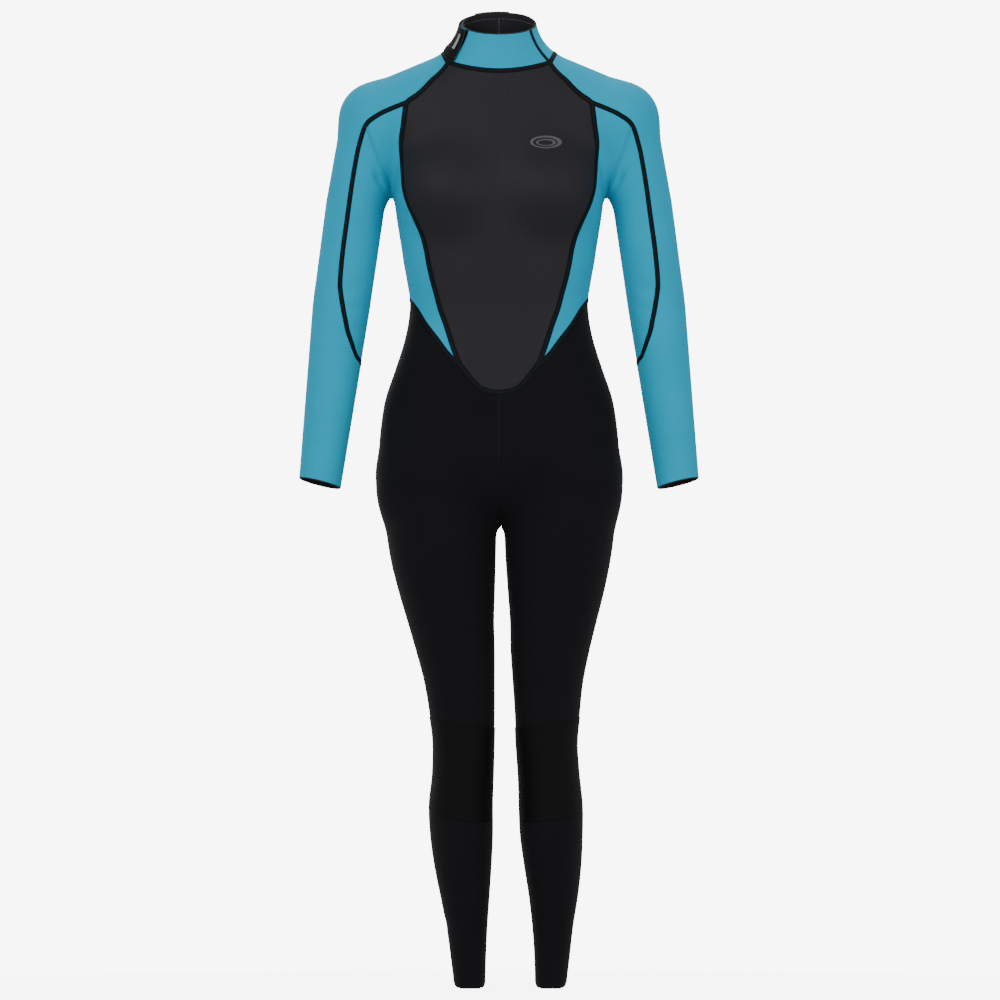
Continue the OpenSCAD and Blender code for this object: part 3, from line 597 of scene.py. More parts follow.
def sheet(name, p, finishes, free=(), high=0.0, low=-PANEL, nodes=(), body="suit",
          folds=True):
    """Closed sheet over a grid: an outer and an inner skin, and a rim that is half round
    along the free sides ("start", "end" of the rows, "left", "right" of the columns)."""
    rows, columns = p.shape[:2]
    n = slope(p)
    rise = relief(p) if folds else np.zeros(p.shape[:2])
    top = p + n * (high + rise)[..., None]
    under = p + n * (low + rise)[..., None]
    ring = np.concatenate([
        [(0, j) for j in range(columns)], [(i, columns - 1) for i in range(1, rows)],
        [(rows - 1, j) for j in range(columns - 2, -1, -1)],
        [(i, 0) for i in range(rows - 2, 0, -1)]])
    ri, rj = ring.T
    out = np.zeros((len(ring), 3))
    for side, here, inward in (("start", ri == 0, (1, 0)), ("end", ri == rows - 1, (-1, 0)),
                               ("left", rj == 0, (0, 1)), ("right", rj == columns - 1, (0, -1))):
        if side in free:
            k = ring[here]
            out[here] += unit(p[k[:, 0], k[:, 1]] - p[k[:, 0] + inward[0], k[:, 1] + inward[1]])
    out = unit(out) * (np.linalg.norm(out, axis=-1, keepdims=True) > 0.1)
    half = (high - low) / 2
    middle = (top[ri, rj] + under[ri, rj]) / 2
    turn_angle = np.radians([36, 72, 108, 144])[:, None, None]
    lip = middle + half * (np.cos(turn_angle) * n[ri, rj] + np.sin(turn_angle) * out)
    count, m = rows * columns, len(ring)
    flat_ring = ri * columns + rj
    loops = [flat_ring] + [2 * count + k * m + np.arange(m) for k in range(4)] + [count + flat_ring]
    rim = np.concatenate([np.stack([b, np.roll(b, -1), np.roll(a, -1), a], -1)
                          for a, b in zip(loops[:-1], loops[1:])])
    skin = quads(rows, columns)
    faces = np.concatenate([skin[:, ::-1], skin + count, rim[:, ::-1]])
    index = np.repeat([0, min(1, len(finishes) - 1), len(finishes) - 1],
                      [len(skin), len(skin), len(rim)])
    cloth = np.stack([travel(p, 1), travel(p, 0)], -1)
    rim_uv = np.tile(cloth[ri, rj], (4, 1))
    uv = np.concatenate([cloth.reshape(-1, 2), cloth.reshape(-1, 2), rim_uv])
    verts = np.concatenate([top.reshape(-1, 3), under.reshape(-1, 3), lip.reshape(-1, 3)])
    return make(name, verts, faces, finishes, index, uv, body, nodes)


def even(line, step, closed=False):
    """Points a step apart along a polyline, from its length measured point to point."""
    if closed:
        line = np.concatenate([line, line[:1]])
    s = np.insert(np.cumsum(np.linalg.norm(np.diff(line, axis=0), axis=-1)), 0, 0)
    at = np.linspace(0, s[-1], max(int(round(s[-1] / step)), 2) + 1)
    q = np.stack([np.interp(at, s, line[:, c]) for c in range(3)], -1)
    return (q[:-1] if closed else q), at[:-1] if closed else at


def soften(line, times, closed=False):
    """Rounds a polyline: each point moves to the mean of itself and its neighbours."""
    for _ in range(times):
        if closed:
            line = (np.roll(line, 1, 0) + 2 * line + np.roll(line, -1, 0)) / 4
        else:
            line[1:-1] = (line[:-2] + 2 * line[1:-1] + line[2:]) / 4
    return line


def band(name, line, finish, width=7.0, high=0.7, closed=False, slot=None, nodes=(), rung=2.6,
         soft=6, offset=0.0):
    """Flatlock seam: a domed ribbon along a surface line. Its height is a dome across the width,
    with two needle grooves beside the middle and slanted cover threads every rung mm."""
    line, at = even(line, 0.65, closed)
    line = settle(settle(soften(line, soft, closed)))
    n = slope(line)
    ahead = np.roll(line, -1, 0) - np.roll(line, 1, 0)
    if not closed:
        ahead[0], ahead[-1] = line[1] - line[0], line[-1] - line[-2]
    aside = unit(np.cross(n, ahead))
    w = np.array([0.2, 0.34, 0.5, 0.66, 0.82, 0.94, 1])
    w = np.concatenate([-w[::-1], [0], w])
    dome = 0.25 + 0.75 * (1 - np.abs(w) ** 5)
    groove = 0.32 * (np.exp(-((np.abs(w) - 0.58) / 0.09) ** 2))
    thread = 0.20 * np.cos(2 * np.pi * (at[:, None] / rung + 0.55 * np.abs(w)[None]))
    thread = thread * (np.abs(w) < 0.9)
    height = high * (dome[None] - groove[None] + thread) + offset
    wide = width(line) if callable(width) else np.full(len(line), width)
    middle = line[:, None] + aside[:, None] * (w[None] * wide[:, None] / 2)[..., None]
    lift = relief(line)[:, None]
    top = middle + n[:, None] * (height + lift)[..., None]
    under = middle[:, [-1, 7, 0]] + n[:, None] * (lift + offset - 0.7)[..., None]
    p = np.concatenate([top, under], 1)
    rows, columns = p.shape[:2]
    if closed:
        p, at, rows = np.concatenate([p, p[:1]]), np.append(at, at[-1] + at[1]), rows + 1
    faces = quads(rows, columns, True)
    v = p.reshape(-1, 3)
    if not closed:
        caps = []
        for end, flip in ((0, -1), ((rows - 1) * columns, 1)):
            fan = np.array([[16, 17, 0, 1]] + [[16, k, k + 1, k + 2] for k in range(1, 14, 2)])
            caps.append(fan[:, ::flip] + end)
        faces = np.concatenate([faces] + caps)
    across = np.append(w * 0.5 + 0.5, [1, 0.5, 0])
    uv = np.stack([np.tile(across, rows), np.repeat(at * MM, columns)], -1)
    return make(name, v, faces[:, ::-1], [finish], None, uv, "suit", nodes)


def stitches(name, line, out, finish, length=3.4, gap=1.3, radius=0.34, body="suit"):
    """Row of stitches along a line: each a short spindle whose radius is that of a half sine."""
    path, at = even(line, length + gap)
    ups = np.stack([np.interp(np.linspace(0, 1, len(path)), np.linspace(0, 1, len(out)), out[:, c])
                    for c in range(3)], -1)
    t, a = np.linspace(0, 1, 5), np.linspace(0, 2 * np.pi, 6, endpoint=False)
    start, ahead = path[:-1], unit(np.diff(path, axis=0))
    up = unit(ups[:-1])
    aside = np.cross(ahead, up)
    r = radius * np.sqrt(np.sin(np.pi * np.clip(t, 0.04, 0.96)))
    ring = (np.cos(a)[:, None] * aside[:, None, None] + np.sin(a)[:, None] * up[:, None, None])
    p = (start[:, None, None] + ahead[:, None, None] * (t * length)[None, :, None, None]
         + ring * r[None, :, None, None])
    one = quads(5, 6, True)
    caps = np.array([[0, 1, 2, 3], [0, 3, 4, 5], [27, 26, 25, 24], [29, 28, 27, 24]])
    one = np.concatenate([one[:, ::-1], caps])
    faces = (one[None] + 30 * np.arange(len(start))[:, None, None]).reshape(-1, 4)
    return make(name, p.reshape(-1, 3), faces, [finish], body=body)


# ---- shader maths ---------------------------------------------------------------------------
class Wire:
    """A value in a finish's nodes; an expression on wires adds Math nodes."""

    def __init__(self, finish, socket):
        self.finish, self.socket = finish, socket

    def math(self, operation, *others, flip=False):
        values = [self, *others][::-1] if flip else [self, *others]
        return self.finish.node("ShaderNodeMath", {"operation": operation},
                                dict(enumerate(values)))

    def __add__(self, o): return self.math("ADD", o)
    def __sub__(self, o): return self.math("SUBTRACT", o)
    def __rsub__(self, o): return self.math("SUBTRACT", o, flip=True)
    def __mul__(self, o): return self.math("MULTIPLY", o)
    def __truediv__(self, o): return self.math("DIVIDE", o)
    def __pow__(self, o): return self.math("POWER", o)
    def __gt__(self, o): return self.math("GREATER_THAN", o)
    __radd__, __rmul__ = __add__, __mul__

    def sin(self): return self.math("SINE")
    def abs(self): return self.math("ABSOLUTE")
    def fract(self): return self.math("FRACT")
    def clamp(self): return self.math("MAXIMUM", 0.0).math("MINIMUM", 1.0)


class Finish:
    """One procedural material: a Principled shader and the nodes that feed it."""

    def __init__(self, name, **constants):
        self.material = bpy.data.materials.new(name)
        self.material.use_nodes = True
        self.tree = self.material.node_tree
        self.tree.nodes.clear()
        self.shader = self.tree.nodes.new("ShaderNodeBsdfPrincipled")
        output = self.tree.nodes.new("ShaderNodeOutputMaterial")
        self.tree.links.new(self.shader.outputs[0], output.inputs["Surface"])
        for socket, value in constants.items():
            self.shader.inputs[socket.replace("_", " ")].default_value = value

    def node(self, kind, settings=None, sockets=None, out=0):
        """Adds a node: its settings first, then the values or links of its sockets."""
        made = self.tree.nodes.new(kind)
        for key, value in (settings or {}).items():
            if key == "stops":
                ramp = made.color_ramp
                while len(ramp.elements) < len(value):
                    ramp.elements.new(0.5)
                for element, (at, colour) in zip(ramp.elements, value):
                    element.position, element.color = at, colour
            else:
                setattr(made, key, value)
        for key, value in (sockets or {}).items():
            if isinstance(value, Wire):
                self.tree.links.new(value.socket, made.inputs[key])
            else:
                made.inputs[key].default_value = value
        return Wire(self, made.outputs[out])

    def feed(self, socket, value):
        self.tree.links.new(value.socket, self.shader.inputs[socket])

    def place(self):
        return self.node("ShaderNodeTexCoord", out="Object")

    def cloth(self):
        """The two lengths along the fabric, in m."""
        split = self.node("ShaderNodeUVMap", {"uv_map": "cloth"})
        parts = self.node("ShaderNodeSeparateXYZ", sockets={0: split})
        return parts, Wire(self, parts.socket.node.outputs[1])

    def noise(self, scale, detail=2.0, rough=0.5):
        return self.node("ShaderNodeTexNoise", {}, {
            "Vector": self.place(), "Scale": scale, "Detail": detail, "Roughness": rough})

    def blend(self, amount, a, b):
        return self.node("ShaderNodeMix", {"data_type": "RGBA"}, {0: amount, 6: a, 7: b}, out=2)

    def bump(self, height, distance, strength=1.0):
        self.feed("Normal", self.node("ShaderNodeBump", {}, {
            "Height": height, "Distance": distance, "Strength": strength}))


def linear(r, g, b):
    """A colour given in 0 to 255 as the shader's linear values."""
    c = np.array([r, g, b]) / 255
    return (*np.where(c <= 0.04045, c / 12.92, ((c + 0.055) / 1.055) ** 2.4).tolist(), 1.0)


def jersey(name, deep, base, light, pitch=1.15, **constants):
    """Knit facing: v-shaped loops in columns a pitch apart, fine fuzz and broad shade changes."""
    f = Finish(name, Roughness=0.85, Sheen_Weight=0.02, Sheen_Roughness=0.5, IOR=1.4,
               Specular_IOR_Level=0.12, **constants)
    u, v = f.cloth()
    column = (u * (1000 / pitch)).fract()
    leg_of_v = (column - 0.5).abs()
    loops = ((v * (1000 / pitch * 1.25) + leg_of_v * 1.1) * (2 * np.pi)).sin() * 0.5 + 0.5
    gutter = (leg_of_v * 2) ** 4.0
    knit = (loops * (1 - gutter)).clamp()
    broad, fuzz = f.noise(14.0, 3.0), f.noise(900.0, 2.0, 0.7)
    tone = (knit * 0.35 + fuzz * 0.3 + broad * 0.5).clamp()
    colour = f.blend((tone - 0.3).clamp() * 1.4, deep, light)
    f.feed("Base Color", f.blend(0.6, colour, base))
    f.feed("Roughness", fuzz * 0.12 + 0.76)
    f.bump(knit * 0.7 + fuzz * 0.5, 0.00022, 0.5)
    return f.material


def chest_rubber():
    """Smooth-skin rubber pressed with a fine mesh: raised cells between two crossing grooves."""
    f = Finish("chest mesh rubber", IOR=1.5, Specular_IOR_Level=0.2)
    u, v = f.cloth()
    cell = 2 * np.pi / 0.0021
    a, b = ((u + v * 0.58) * cell).sin(), ((u - v * 0.58) * cell).sin()
    mesh = ((a * b) * 0.5 + 0.5).clamp()
    broad, grain = f.noise(9.0, 3.0), f.noise(1500.0, 2.0, 0.6)
    tone = (mesh * 0.45 + grain * 0.25 + broad * 0.35).clamp()
    f.feed("Base Color", f.blend(tone, linear(18, 17, 20), linear(33, 32, 37)))
    f.feed("Roughness", grain * 0.15 + mesh * 0.08 + 0.5)
    f.bump(mesh + grain * 0.3, 0.00018, 0.6)
    return f.material


def flatlock(name, dark, tint, middle):
    """Seam thread: cover threads darker in their gaps, with a lighter needle line in the middle."""
    f = Finish(name, Roughness=0.7, IOR=1.45, Specular_IOR_Level=0.15)
    u, v = f.cloth()
    off = (u - 0.5).abs()
    ply = ((v * (1000 / 2.6) + off * 1.1) * (2 * np.pi)).sin() * 0.5 + 0.5
    fibre = f.noise(2200.0, 2.0, 0.6)
    needle = (1 - off / 0.075).clamp()
    cover = f.blend((ply * 0.6 + fibre * 0.4).clamp(), dark, tint)
    f.feed("Base Color", f.blend((needle * (ply * 0.5 + 0.5)).clamp(), cover, middle))
    f.feed("Roughness", fibre * 0.2 + 0.6)
    f.bump(ply * 0.6 + fibre * 0.4, 0.00018, 0.5)
    return f.material


def foam():
    """Cut edge of the foam: closed cells of many sizes, dark grey."""
    f = Finish("cut foam edge", Roughness=0.9, IOR=1.45)
    cells = f.node("ShaderNodeTexVoronoi", {"feature": "F1"},
                   {"Vector": f.place(), "Scale": 1800.0})
    grain = f.noise(600.0, 3.0)
    f.feed("Base Color", f.blend((cells * 0.6 + grain * 0.4).clamp(), linear(14, 14, 16),
                                 linear(36, 36, 39)))
    f.feed("Roughness", grain * 0.1 + 0.82)
    f.bump(cells, 0.0002, 0.5)
    return f.material


def woven(name, dark, light, pitch=0.7):
    """Tape woven over and under: two crossing sets of yarns, each a sine across its width."""
    f = Finish(name, Roughness=0.7, IOR=1.45, Sheen_Weight=0.1)
    split = f.node("ShaderNodeSeparateXYZ", sockets={0: f.place()})
    x, z = split, Wire(f, split.socket.node.outputs[2])
    k = 1000 / pitch
    warp = ((x * k) * (2 * np.pi)).sin() * 0.5 + 0.5
    weft = (z * k) + (x * k).fract().math("GREATER_THAN", 0.5) * 0.5
    weft = (weft * (2 * np.pi)).sin() * 0.5 + 0.5
    lint = f.noise(1400.0, 2.0)
    weave = (warp * weft * 0.7 + lint * 0.3).clamp()
    f.feed("Base Color", f.blend(weave, dark, light))
    f.feed("Roughness", lint * 0.2 + 0.6)
    f.bump(weave, 0.0002, 0.6)
    return f.material


def moulded(name, dark, light, rough=0.42):
    """Moulded plastic or rubber: a fine spark-eroded grain and faint flow marks."""
    f = Finish(name, IOR=1.47, Specular_IOR_Level=0.45)
    grain, flow = f.noise(2600.0, 2.0, 0.6), f.noise(60.0, 2.0)
    f.feed("Base Color", f.blend((flow * 0.6 + grain * 0.4).clamp(), dark, light))
    f.feed("Roughness", grain * 0.14 + flow * 0.08 + rough)
    f.bump(grain, 0.00006, 0.5)
    return f.material


def satin_metal():
    """Die-cast slider metal: brushed along its length, rubbed brighter in places."""
    f = Finish("satin zip metal", IOR=1.5)
    brushed = f.node("ShaderNodeTexNoise", {}, {
        "Vector": f.node("ShaderNodeMapping", {}, {"Vector": f.place(), "Scale": (1, 1, 0.06)}),
        "Scale": 4200.0, "Detail": 2.0})
    wear = f.noise(300.0, 3.0)
    f.feed("Base Color", f.blend((wear * 0.7 + brushed * 0.3).clamp(), linear(110, 112, 118),
                                 linear(196, 198, 203)))
    f.feed("Metallic", wear * 0.05 + 0.93)
    f.feed("Roughness", brushed * 0.2 + wear * 0.1 + 0.22)
    f.bump(brushed, 0.00003, 0.4)
    return f.material


def hook_and_loop(name, scale):
    """Hook or loop pile: small tufts in rows, dark between them."""
    f = Finish(name, Roughness=0.8, IOR=1.45, Sheen_Weight=0.2)
    tufts = f.node("ShaderNodeTexVoronoi", {"feature": "F1"}, {"Vector": f.place(), "Scale": scale})
    lint = f.noise(1600.0, 3.0)
    f.feed("Base Color", f.blend((1 - tufts * 1.2 + lint * 0.2).clamp(), linear(9, 9, 10),
                                 linear(44, 44, 47)))
    f.feed("Roughness", lint * 0.15 + 0.75)
    f.bump(1 - tufts, 0.0006, 0.8)
    return f.material


def knee_rubber():
    """Knee panel facing: a screen-printed rubber grid of small lozenges on black knit."""
    f = Finish("knee print rubber", IOR=1.5, Specular_IOR_Level=0.12)
    u, v = f.cloth()
    k = 2 * np.pi / 0.0052
    lozenge = (((u + v * 0.6) * k).sin() * ((u - v * 0.6) * k).sin()).abs()
    grain = f.noise(1500.0, 2.0)
    f.feed("Base Color", f.blend((lozenge * 0.6 + grain * 0.4).clamp(), linear(2, 2, 3),
                                 linear(9, 9, 10)))
    f.feed("Roughness", grain * 0.15 + 0.62)
    f.bump(lozenge + grain * 0.2, 0.00035, 0.7)
    return f.material


TURQUOISE = jersey("turquoise knit", linear(0, 128, 157), linear(0, 154, 189), linear(0, 176, 210))
BLACK = jersey("black knit", linear(9, 9, 11), linear(15, 15, 18), linear(23, 23, 27))
LINING = jersey("black lining plush", linear(20, 20, 21), linear(36, 36, 38), linear(54, 54, 57),
                1.6)
CHARCOAL = chest_rubber()
FOAM = foam()
THREAD = flatlock("black seam thread", linear(1, 3, 6), linear(5, 9, 14), linear(26, 38, 48))
TONAL = flatlock("turquoise seam thread", linear(0, 124, 150), linear(0, 150, 183),
                 linear(8, 174, 206))
DARK_TONAL = flatlock("black tonal thread", linear(7, 7, 9), linear(13, 13, 16), linear(20, 20, 24))
KNEE = knee_rubber()
STRAP = jersey("black strap neoprene", linear(3, 3, 4), linear(7, 7, 8), linear(13, 13, 15), 0.9)
TAPE = woven("zip tape weave", linear(9, 9, 10), linear(32, 32, 35))
TOOTH = moulded("zip tooth plastic", linear(12, 12, 13), linear(26, 26, 29))
TAB = moulded("pull tab plastic", linear(12, 12, 13), linear(28, 28, 31), 0.5)
PRINT = moulded("grey badge print", linear(62, 62, 67), linear(80, 80, 86), 0.6)
# light grey colour of a painted highlight on the black neck tab, not a stripe of the tab
PAINTED_TAB_HIGHLIGHT = moulded("painted highlight on tab", linear(112, 116, 122), linear(150, 154, 160), 0.55)
STITCH = moulded("grey stitch thread", linear(70, 78, 88), linear(118, 128, 140), 0.6)
DARK_STITCH = moulded("dark stitch thread", linear(14, 16, 19), linear(34, 38, 43), 0.6)
METAL = satin_metal()
HOOK, LOOP = hook_and_loop("hook pile", 900.0), hook_and_loop("loop pile", 520.0)


# ---- panels ---------------------------------------------------------------------------------


def cut_from(piece, width, length, area, held="stretched", **extra):
    """Returns the panel unchanged; the flat size given, in m and square m, and the other values are not
    used.
    """
    return piece


def mirrored(name, side):
    return name + ("_left" if side > 0 else "_right")


def panels():
    chest = sheet("chest_bib_panel", chest_grid(), [CHARCOAL, LINING, FOAM],
                  nodes=["chest_panel"])
    cut_from(chest, 0.36, 0.53, 0.109)
    for side in (1, -1):
        back = sheet(mirrored("back_panel_half", side), back_grid(side),
                     [BLACK, LINING, FOAM],
                     nodes=[mirrored("back_panel", side)])
        cut_from(back, 0.18, 0.52, 0.050)
        flank = sheet(mirrored("side_and_shoulder", side), relax(side_grid(side), 60),
                      [TURQUOISE, LINING, FOAM],
                      nodes=[mirrored("side_panel", side)])
        cut_from(flank, 0.26, 0.43, 0.041)
        sleeve = sheet(mirrored("long_sleeve", side), relax(sleeve_grid(side), 8),
                       [TURQUOISE, LINING, FOAM], free=("start",),
                       nodes=[mirrored("sleeve", side)])
        cut_from(sleeve, 0.26, 0.76, 0.112)
        gusset = sheet(mirrored("underarm_gusset", side), underarm_grid(side),
                       [TURQUOISE, LINING, FOAM],
                       nodes=[mirrored("underarm_panel", side)])
        cut_from(gusset, 0.17, 0.36, 0.039)
        for face, label in ((-1, "leg_front_piece"), (1, "leg_back_piece")):
            shape = sheet(mirrored(label, side), relax(leg_grid(side, face), 6),
                          [BLACK, LINING, FOAM], free=("end",),
                          nodes=[mirrored("leg_front" if face < 0 else "leg_back", side)])
            cut_from(shape, 0.34, 1.02, 0.18)
        pad_grid = knee_grid(side)
        pad = sheet(mirrored("knee_pad_print", side), pad_grid, [KNEE, KNEE, KNEE],
                    free=("start", "end", "left", "right"), high=1.0, low=-0.3,
                    nodes=[mirrored("knee_pad", side)])
        cut_from(pad, 0.14, 0.165, 0.02)


def knee_grid(side):
    """Patch over the knee: its top edge is bowed down in the middle, its sides drawn in."""
    v, u = grid(110, 90)
    a = mix(14, 166, u)
    w = (a - 90) / 76
    top, low, bow = 388 + 12 * w * w - 8 * w, 248 - 10 * w, 1 - 0.12 * w * w
    return leg_point(side, a, (top + low) / 2 + (top - low) / 2 * bow * (1 - 2 * v))


def badge():
    """Plain oval ring print pressed on the left of the chest, with a smaller ring inside it."""
    for name, wide, tall, thick, lift, area in (("chest_oval_mark", 23, 9.2, 0.2, 0, 0.0004),
                                              ("chest_inner_ring", 14.5, 5, 0.24, -0.6, 0.00016)):
        around, v = grid(160, 7)
        a = 2 * np.pi * (0.001 + 0.998 * around)
        size = 1 - thick * v * (1 + 0.35 * np.cos(a - 0.8))
        x = 69 + wide * size * np.cos(a)
        z = 1242 + lift + tall * size * np.sin(a)
        ring = sheet(name, face_point(x, z, -1), [PRINT, PRINT, PRINT], free=("left", "right"),
                     high=0.5, low=-0.2, nodes=["chest_badge"])
        cut_from(ring, 2.1 * wide * MM, 2.1 * tall * MM, area, held="laid",
                 rests_on=["chest_panel"])


def collar():
    line = np.concatenate([neck_front_line(-1, 0.9)[::-1], neck_front_line(1, 0.9)[1:]])
    front = sheet("collar_front_band", collar_grid(line, -53.7, 53.7, 1),
                  [TURQUOISE, LINING, FOAM], free=("start",),
                  nodes=["collar_front"])
    cut_from(front, 0.15, 0.055, 0.0071)
    for side in (1, -1):
        line = np.concatenate([neck_side_line(side, 89, 0.9), neck_back_line(side, 0.06, 0.9)])
        p = collar_grid(line, side * 54.3, side * 179.95, side)
        back = sheet(mirrored("collar_back_band", side), p,
                     [TURQUOISE, LINING, FOAM], free=("start",),
                     nodes=[mirrored("collar_back", side)])
        cut_from(back, 0.13, 0.085, 0.0088)
        n = slope(p)
        for k, label in ((4, "upper"), (28, "lower")):
            arc = p[k, 22:-2] - n[k, 22:-2] * (PANEL + 0.15)
            stitches(mirrored(f"collar_{label}_stitches", side), arc, -n[k, 22:-2], STITCH)
    z = np.linspace(1372, 1428, 23)
    zig = neck_point(180 + 1.7 * (-1.0) ** np.arange(23), z)
    zn = slope(zig)
    stitches("collar_centre_zigzag", zig - zn * (PANEL + 0.3), -zn, STITCH, length=2.5, gap=0.3)


def neck_closure():
    flap = sheet("neck_overlap_flap", strip_grid(166, 216.4, 60, rise=5.4), [STRAP, LINING, FOAM],
                 free=("start", "end", "left", "right"), high=2.3, low=0.4,
                 nodes=["neck_flap"], folds=False)
    cut_from(flap, 0.06, 0.06, 0.0033, held="laid", rests_on=["collar_back_left"])
    p = strip_grid(220.8, 304.5, 110, below=-3.0 - 3.0 * np.linspace(0, 1, 110), rise=3.0)
    tab = sheet("neck_closing_tab", p, [STRAP, LINING, FOAM],
                free=("start", "end", "left", "right"), high=4.0, low=2.2,
                nodes=["neck_tab"], body="tab", folds=False)
    cut_from(tab, 0.105, 0.056, 0.0050, held="laid", rests_on=["loop_patch"])
    hook = sheet("hook_side_of_tab", strip_grid(233.8, 299, 80, 3), [HOOK, HOOK, HOOK],
                 high=2.3, low=1.5, nodes=["hook_patch"], body="tab",
                 folds=False)
    cut_from(hook, 0.085, 0.044, 0.0030, held="laid", rests_on=["loop_patch"])
    loop = sheet("loop_side_of_collar", strip_grid(231.8, 301, 80, 1), [LOOP, LOOP, LOOP],
                 high=0.9, low=-0.3, nodes=["loop_patch"], folds=False)
    cut_from(loop, 0.09, 0.046, 0.0034, held="laid", rests_on=["collar_back_right"])
    # painted highlight: a thin light grey sheet laid on the tab where a highlight shows
    a = np.linspace(291.5, 296.5, 14)[None]
    top = collar_top(a) - 10
    z = mix(top, top - 22, np.linspace(0, 1, 30)[:, None])
    sheet("tab_painted_highlight", neck_point(a + 0 * z, z), [PAINTED_TAB_HIGHLIGHT, PAINTED_TAB_HIGHLIGHT, PAINTED_TAB_HIGHLIGHT],
          free=("start", "end", "left", "right"), high=4.35, low=3.9, body="tab",
          folds=False)
    edge = np.concatenate([p[2, 3:-3], p[3:-2, -4], p[-3, 3:-3][::-1], p[3:-2, 3][::-1]])
    n = slope(edge)
    stitches("tab_edge_stitches", edge + n * 4.1, n, DARK_STITCH, radius=0.26, body="tab")


# ---- seams ----------------------------------------------------------------------------------
def outline(face):
    """The panel edge from one neck corner down round the tip and up to the other, on one face."""
    z = np.linspace(1360, 882, 420)
    x = np.linspace(29, 0, 26)[1:]
    half = np.concatenate([np.stack([edge_x(z), z], -1),
                           np.stack([x, TIP_Z + 7 * (x / 29) ** 2], -1)])
    whole = np.concatenate([half * (-1, 1), (half * (1, 1))[-2::-1]])
    return face_point(whole[:, 0], whole[:, 1], face)


def neck_loop():
    """Closed line of the collar's lower edge, round by the front, shoulders and back."""
    half = []
    for side in (1, -1):
        half.append(np.concatenate([neck_front_line(side), neck_side_line(side, 60)[:-1],
                                    neck_back_line(side, 10)]))
    return np.concatenate([half[0], half[1][::-1]])


def sleeve_line(side):
    """From the shoulder point down the front of the sleeve, round its lower tip and up the back."""
    r = rows_at(SLEEVE, np.linspace(18, 4.35, 260))
    front, back = (face_point(side * r[:, 0], r[:, 1], face) for face in (-1, 1))
    o, d = sleeve_frame(side, SLEEVE[4:5])
    tip = sleeve_point(o, d, np.array([180.0]))
    return np.concatenate([front, tip, back[::-1]])


def forearm_line(side):
    r = rows_at(SLEEVE, np.linspace(3.95, 0, 90))
    o, d = sleeve_frame(side, r)
    return sleeve_point(o, d, np.full(len(r), 180.0))


def centre_line():
    """Down the centre front, back along the lowest line between the legs, up the centre back."""
    z = np.linspace(872, 722, 60)
    front, back = (leave(points(0 * z, 8 + 0 * z, z), np.array([0, face, 0.0]), 0, 140)
                   for face in (-1, 1))
    y = np.linspace(front[-1, 1] + 3, back[-1, 1] - 3, 60)
    saddle = leave(points(0 * y, y, 735 + 0 * y), np.array([0, 0, -1.0]), 0, 90)
    return np.concatenate([front, saddle, back[::-1]])


def crotch_width(q):
    """The centre seam is 3.4 mm wide, and spreads to 16 mm over the saddle between the legs."""
    return 3.4 + 12.6 * np.clip((712 - q[:, 2]) / 20, 0, 1)


def seams():
    dark = dict(slot="black_thread")
    band("neck_flatlock", neck_loop(), THREAD, 7.0, closed=True, nodes=["neck_seam"], soft=3,
         **dark)
    band("chest_flatlock", outline(-1), THREAD, 8.0, nodes=["chest_seam"], **dark)
    band("back_flatlock", outline(1), THREAD, 8.0, nodes=["back_seam"], **dark)
    band("centre_flatlock", centre_line(), DARK_TONAL, crotch_width, 0.3, nodes=["centre_seam"],
         **dark)
    for side in (1, -1):
        t = np.linspace(0.03, 1.0, 60)
        low = face_point(side * NECK_X, NECK_Z, -1)
        start = neck_angle(low, side)
        band(mirrored("collar_flatlock", side),
             neck_point(mix(start, side * 54, t), mix(NECK_Z, collar_top(54.0), t)), THREAD, 6.2,
             nodes=[mirrored("collar_seam", side)], soft=2, **dark)
        band(mirrored("sleeve_flatlock", side), sleeve_line(side), THREAD, 7.0,
             nodes=[mirrored("sleeve_seam", side)], **dark)
        band(mirrored("armhole_flatlock", side), armhole_point(side, np.linspace(90, -90, 160)),
             TONAL, 4.4, 0.45, nodes=[mirrored("armhole_seam", side)], slot="turquoise_thread")
        band(mirrored("forearm_flatlock", side), forearm_line(side), TONAL, 4.4, 0.45,
             nodes=[mirrored("forearm_seam", side)], slot="turquoise_thread")
        a = np.linspace(110, -110, 260)
        hip = side_point(side, a, curve(HIP, np.abs(a)))
        band(mirrored("hip_flatlock", side), hip, THREAD, 8.0, nodes=[mirrored("hip_seam", side)], **dark)
        z = np.linspace(1007, 9, 500)
        band(mirrored("outer_leg_flatlock", side), leg_point(side, 0 * z, z), DARK_TONAL, 5.0, 0.45,
             nodes=[mirrored("outer_leg_seam", side)], **dark)
        z = np.linspace(668, 9, 340)
        band(mirrored("inner_leg_flatlock", side), leg_point(side, 0 * z + 180, z), DARK_TONAL, 4.2,
             0.4, nodes=[mirrored("inner_leg_seam", side)], **dark)


# ---- zip ------------------------------------------------------------------------------------
TILT = np.radians(2.107)
ZIP_LENGTH = (ZIP_HIGH - ZIP_LOW) / np.cos(TILT)
PIN_Z, PIN_Y = ZIP_LENGTH - 9, 2.9
TAB_LENGTH = 34


def on_zip(p):
    """From the zip's own frame, whose z runs up its teeth, to the suit's."""
    p = np.asarray(p, float)
    c, s = np.cos(TILT), np.sin(TILT)
    return points(p[..., 0], p[..., 1] * c - p[..., 2] * s + float(spine(np.array(ZIP_LOW))),
                  p[..., 1] * s + p[..., 2] * c + ZIP_LOW)


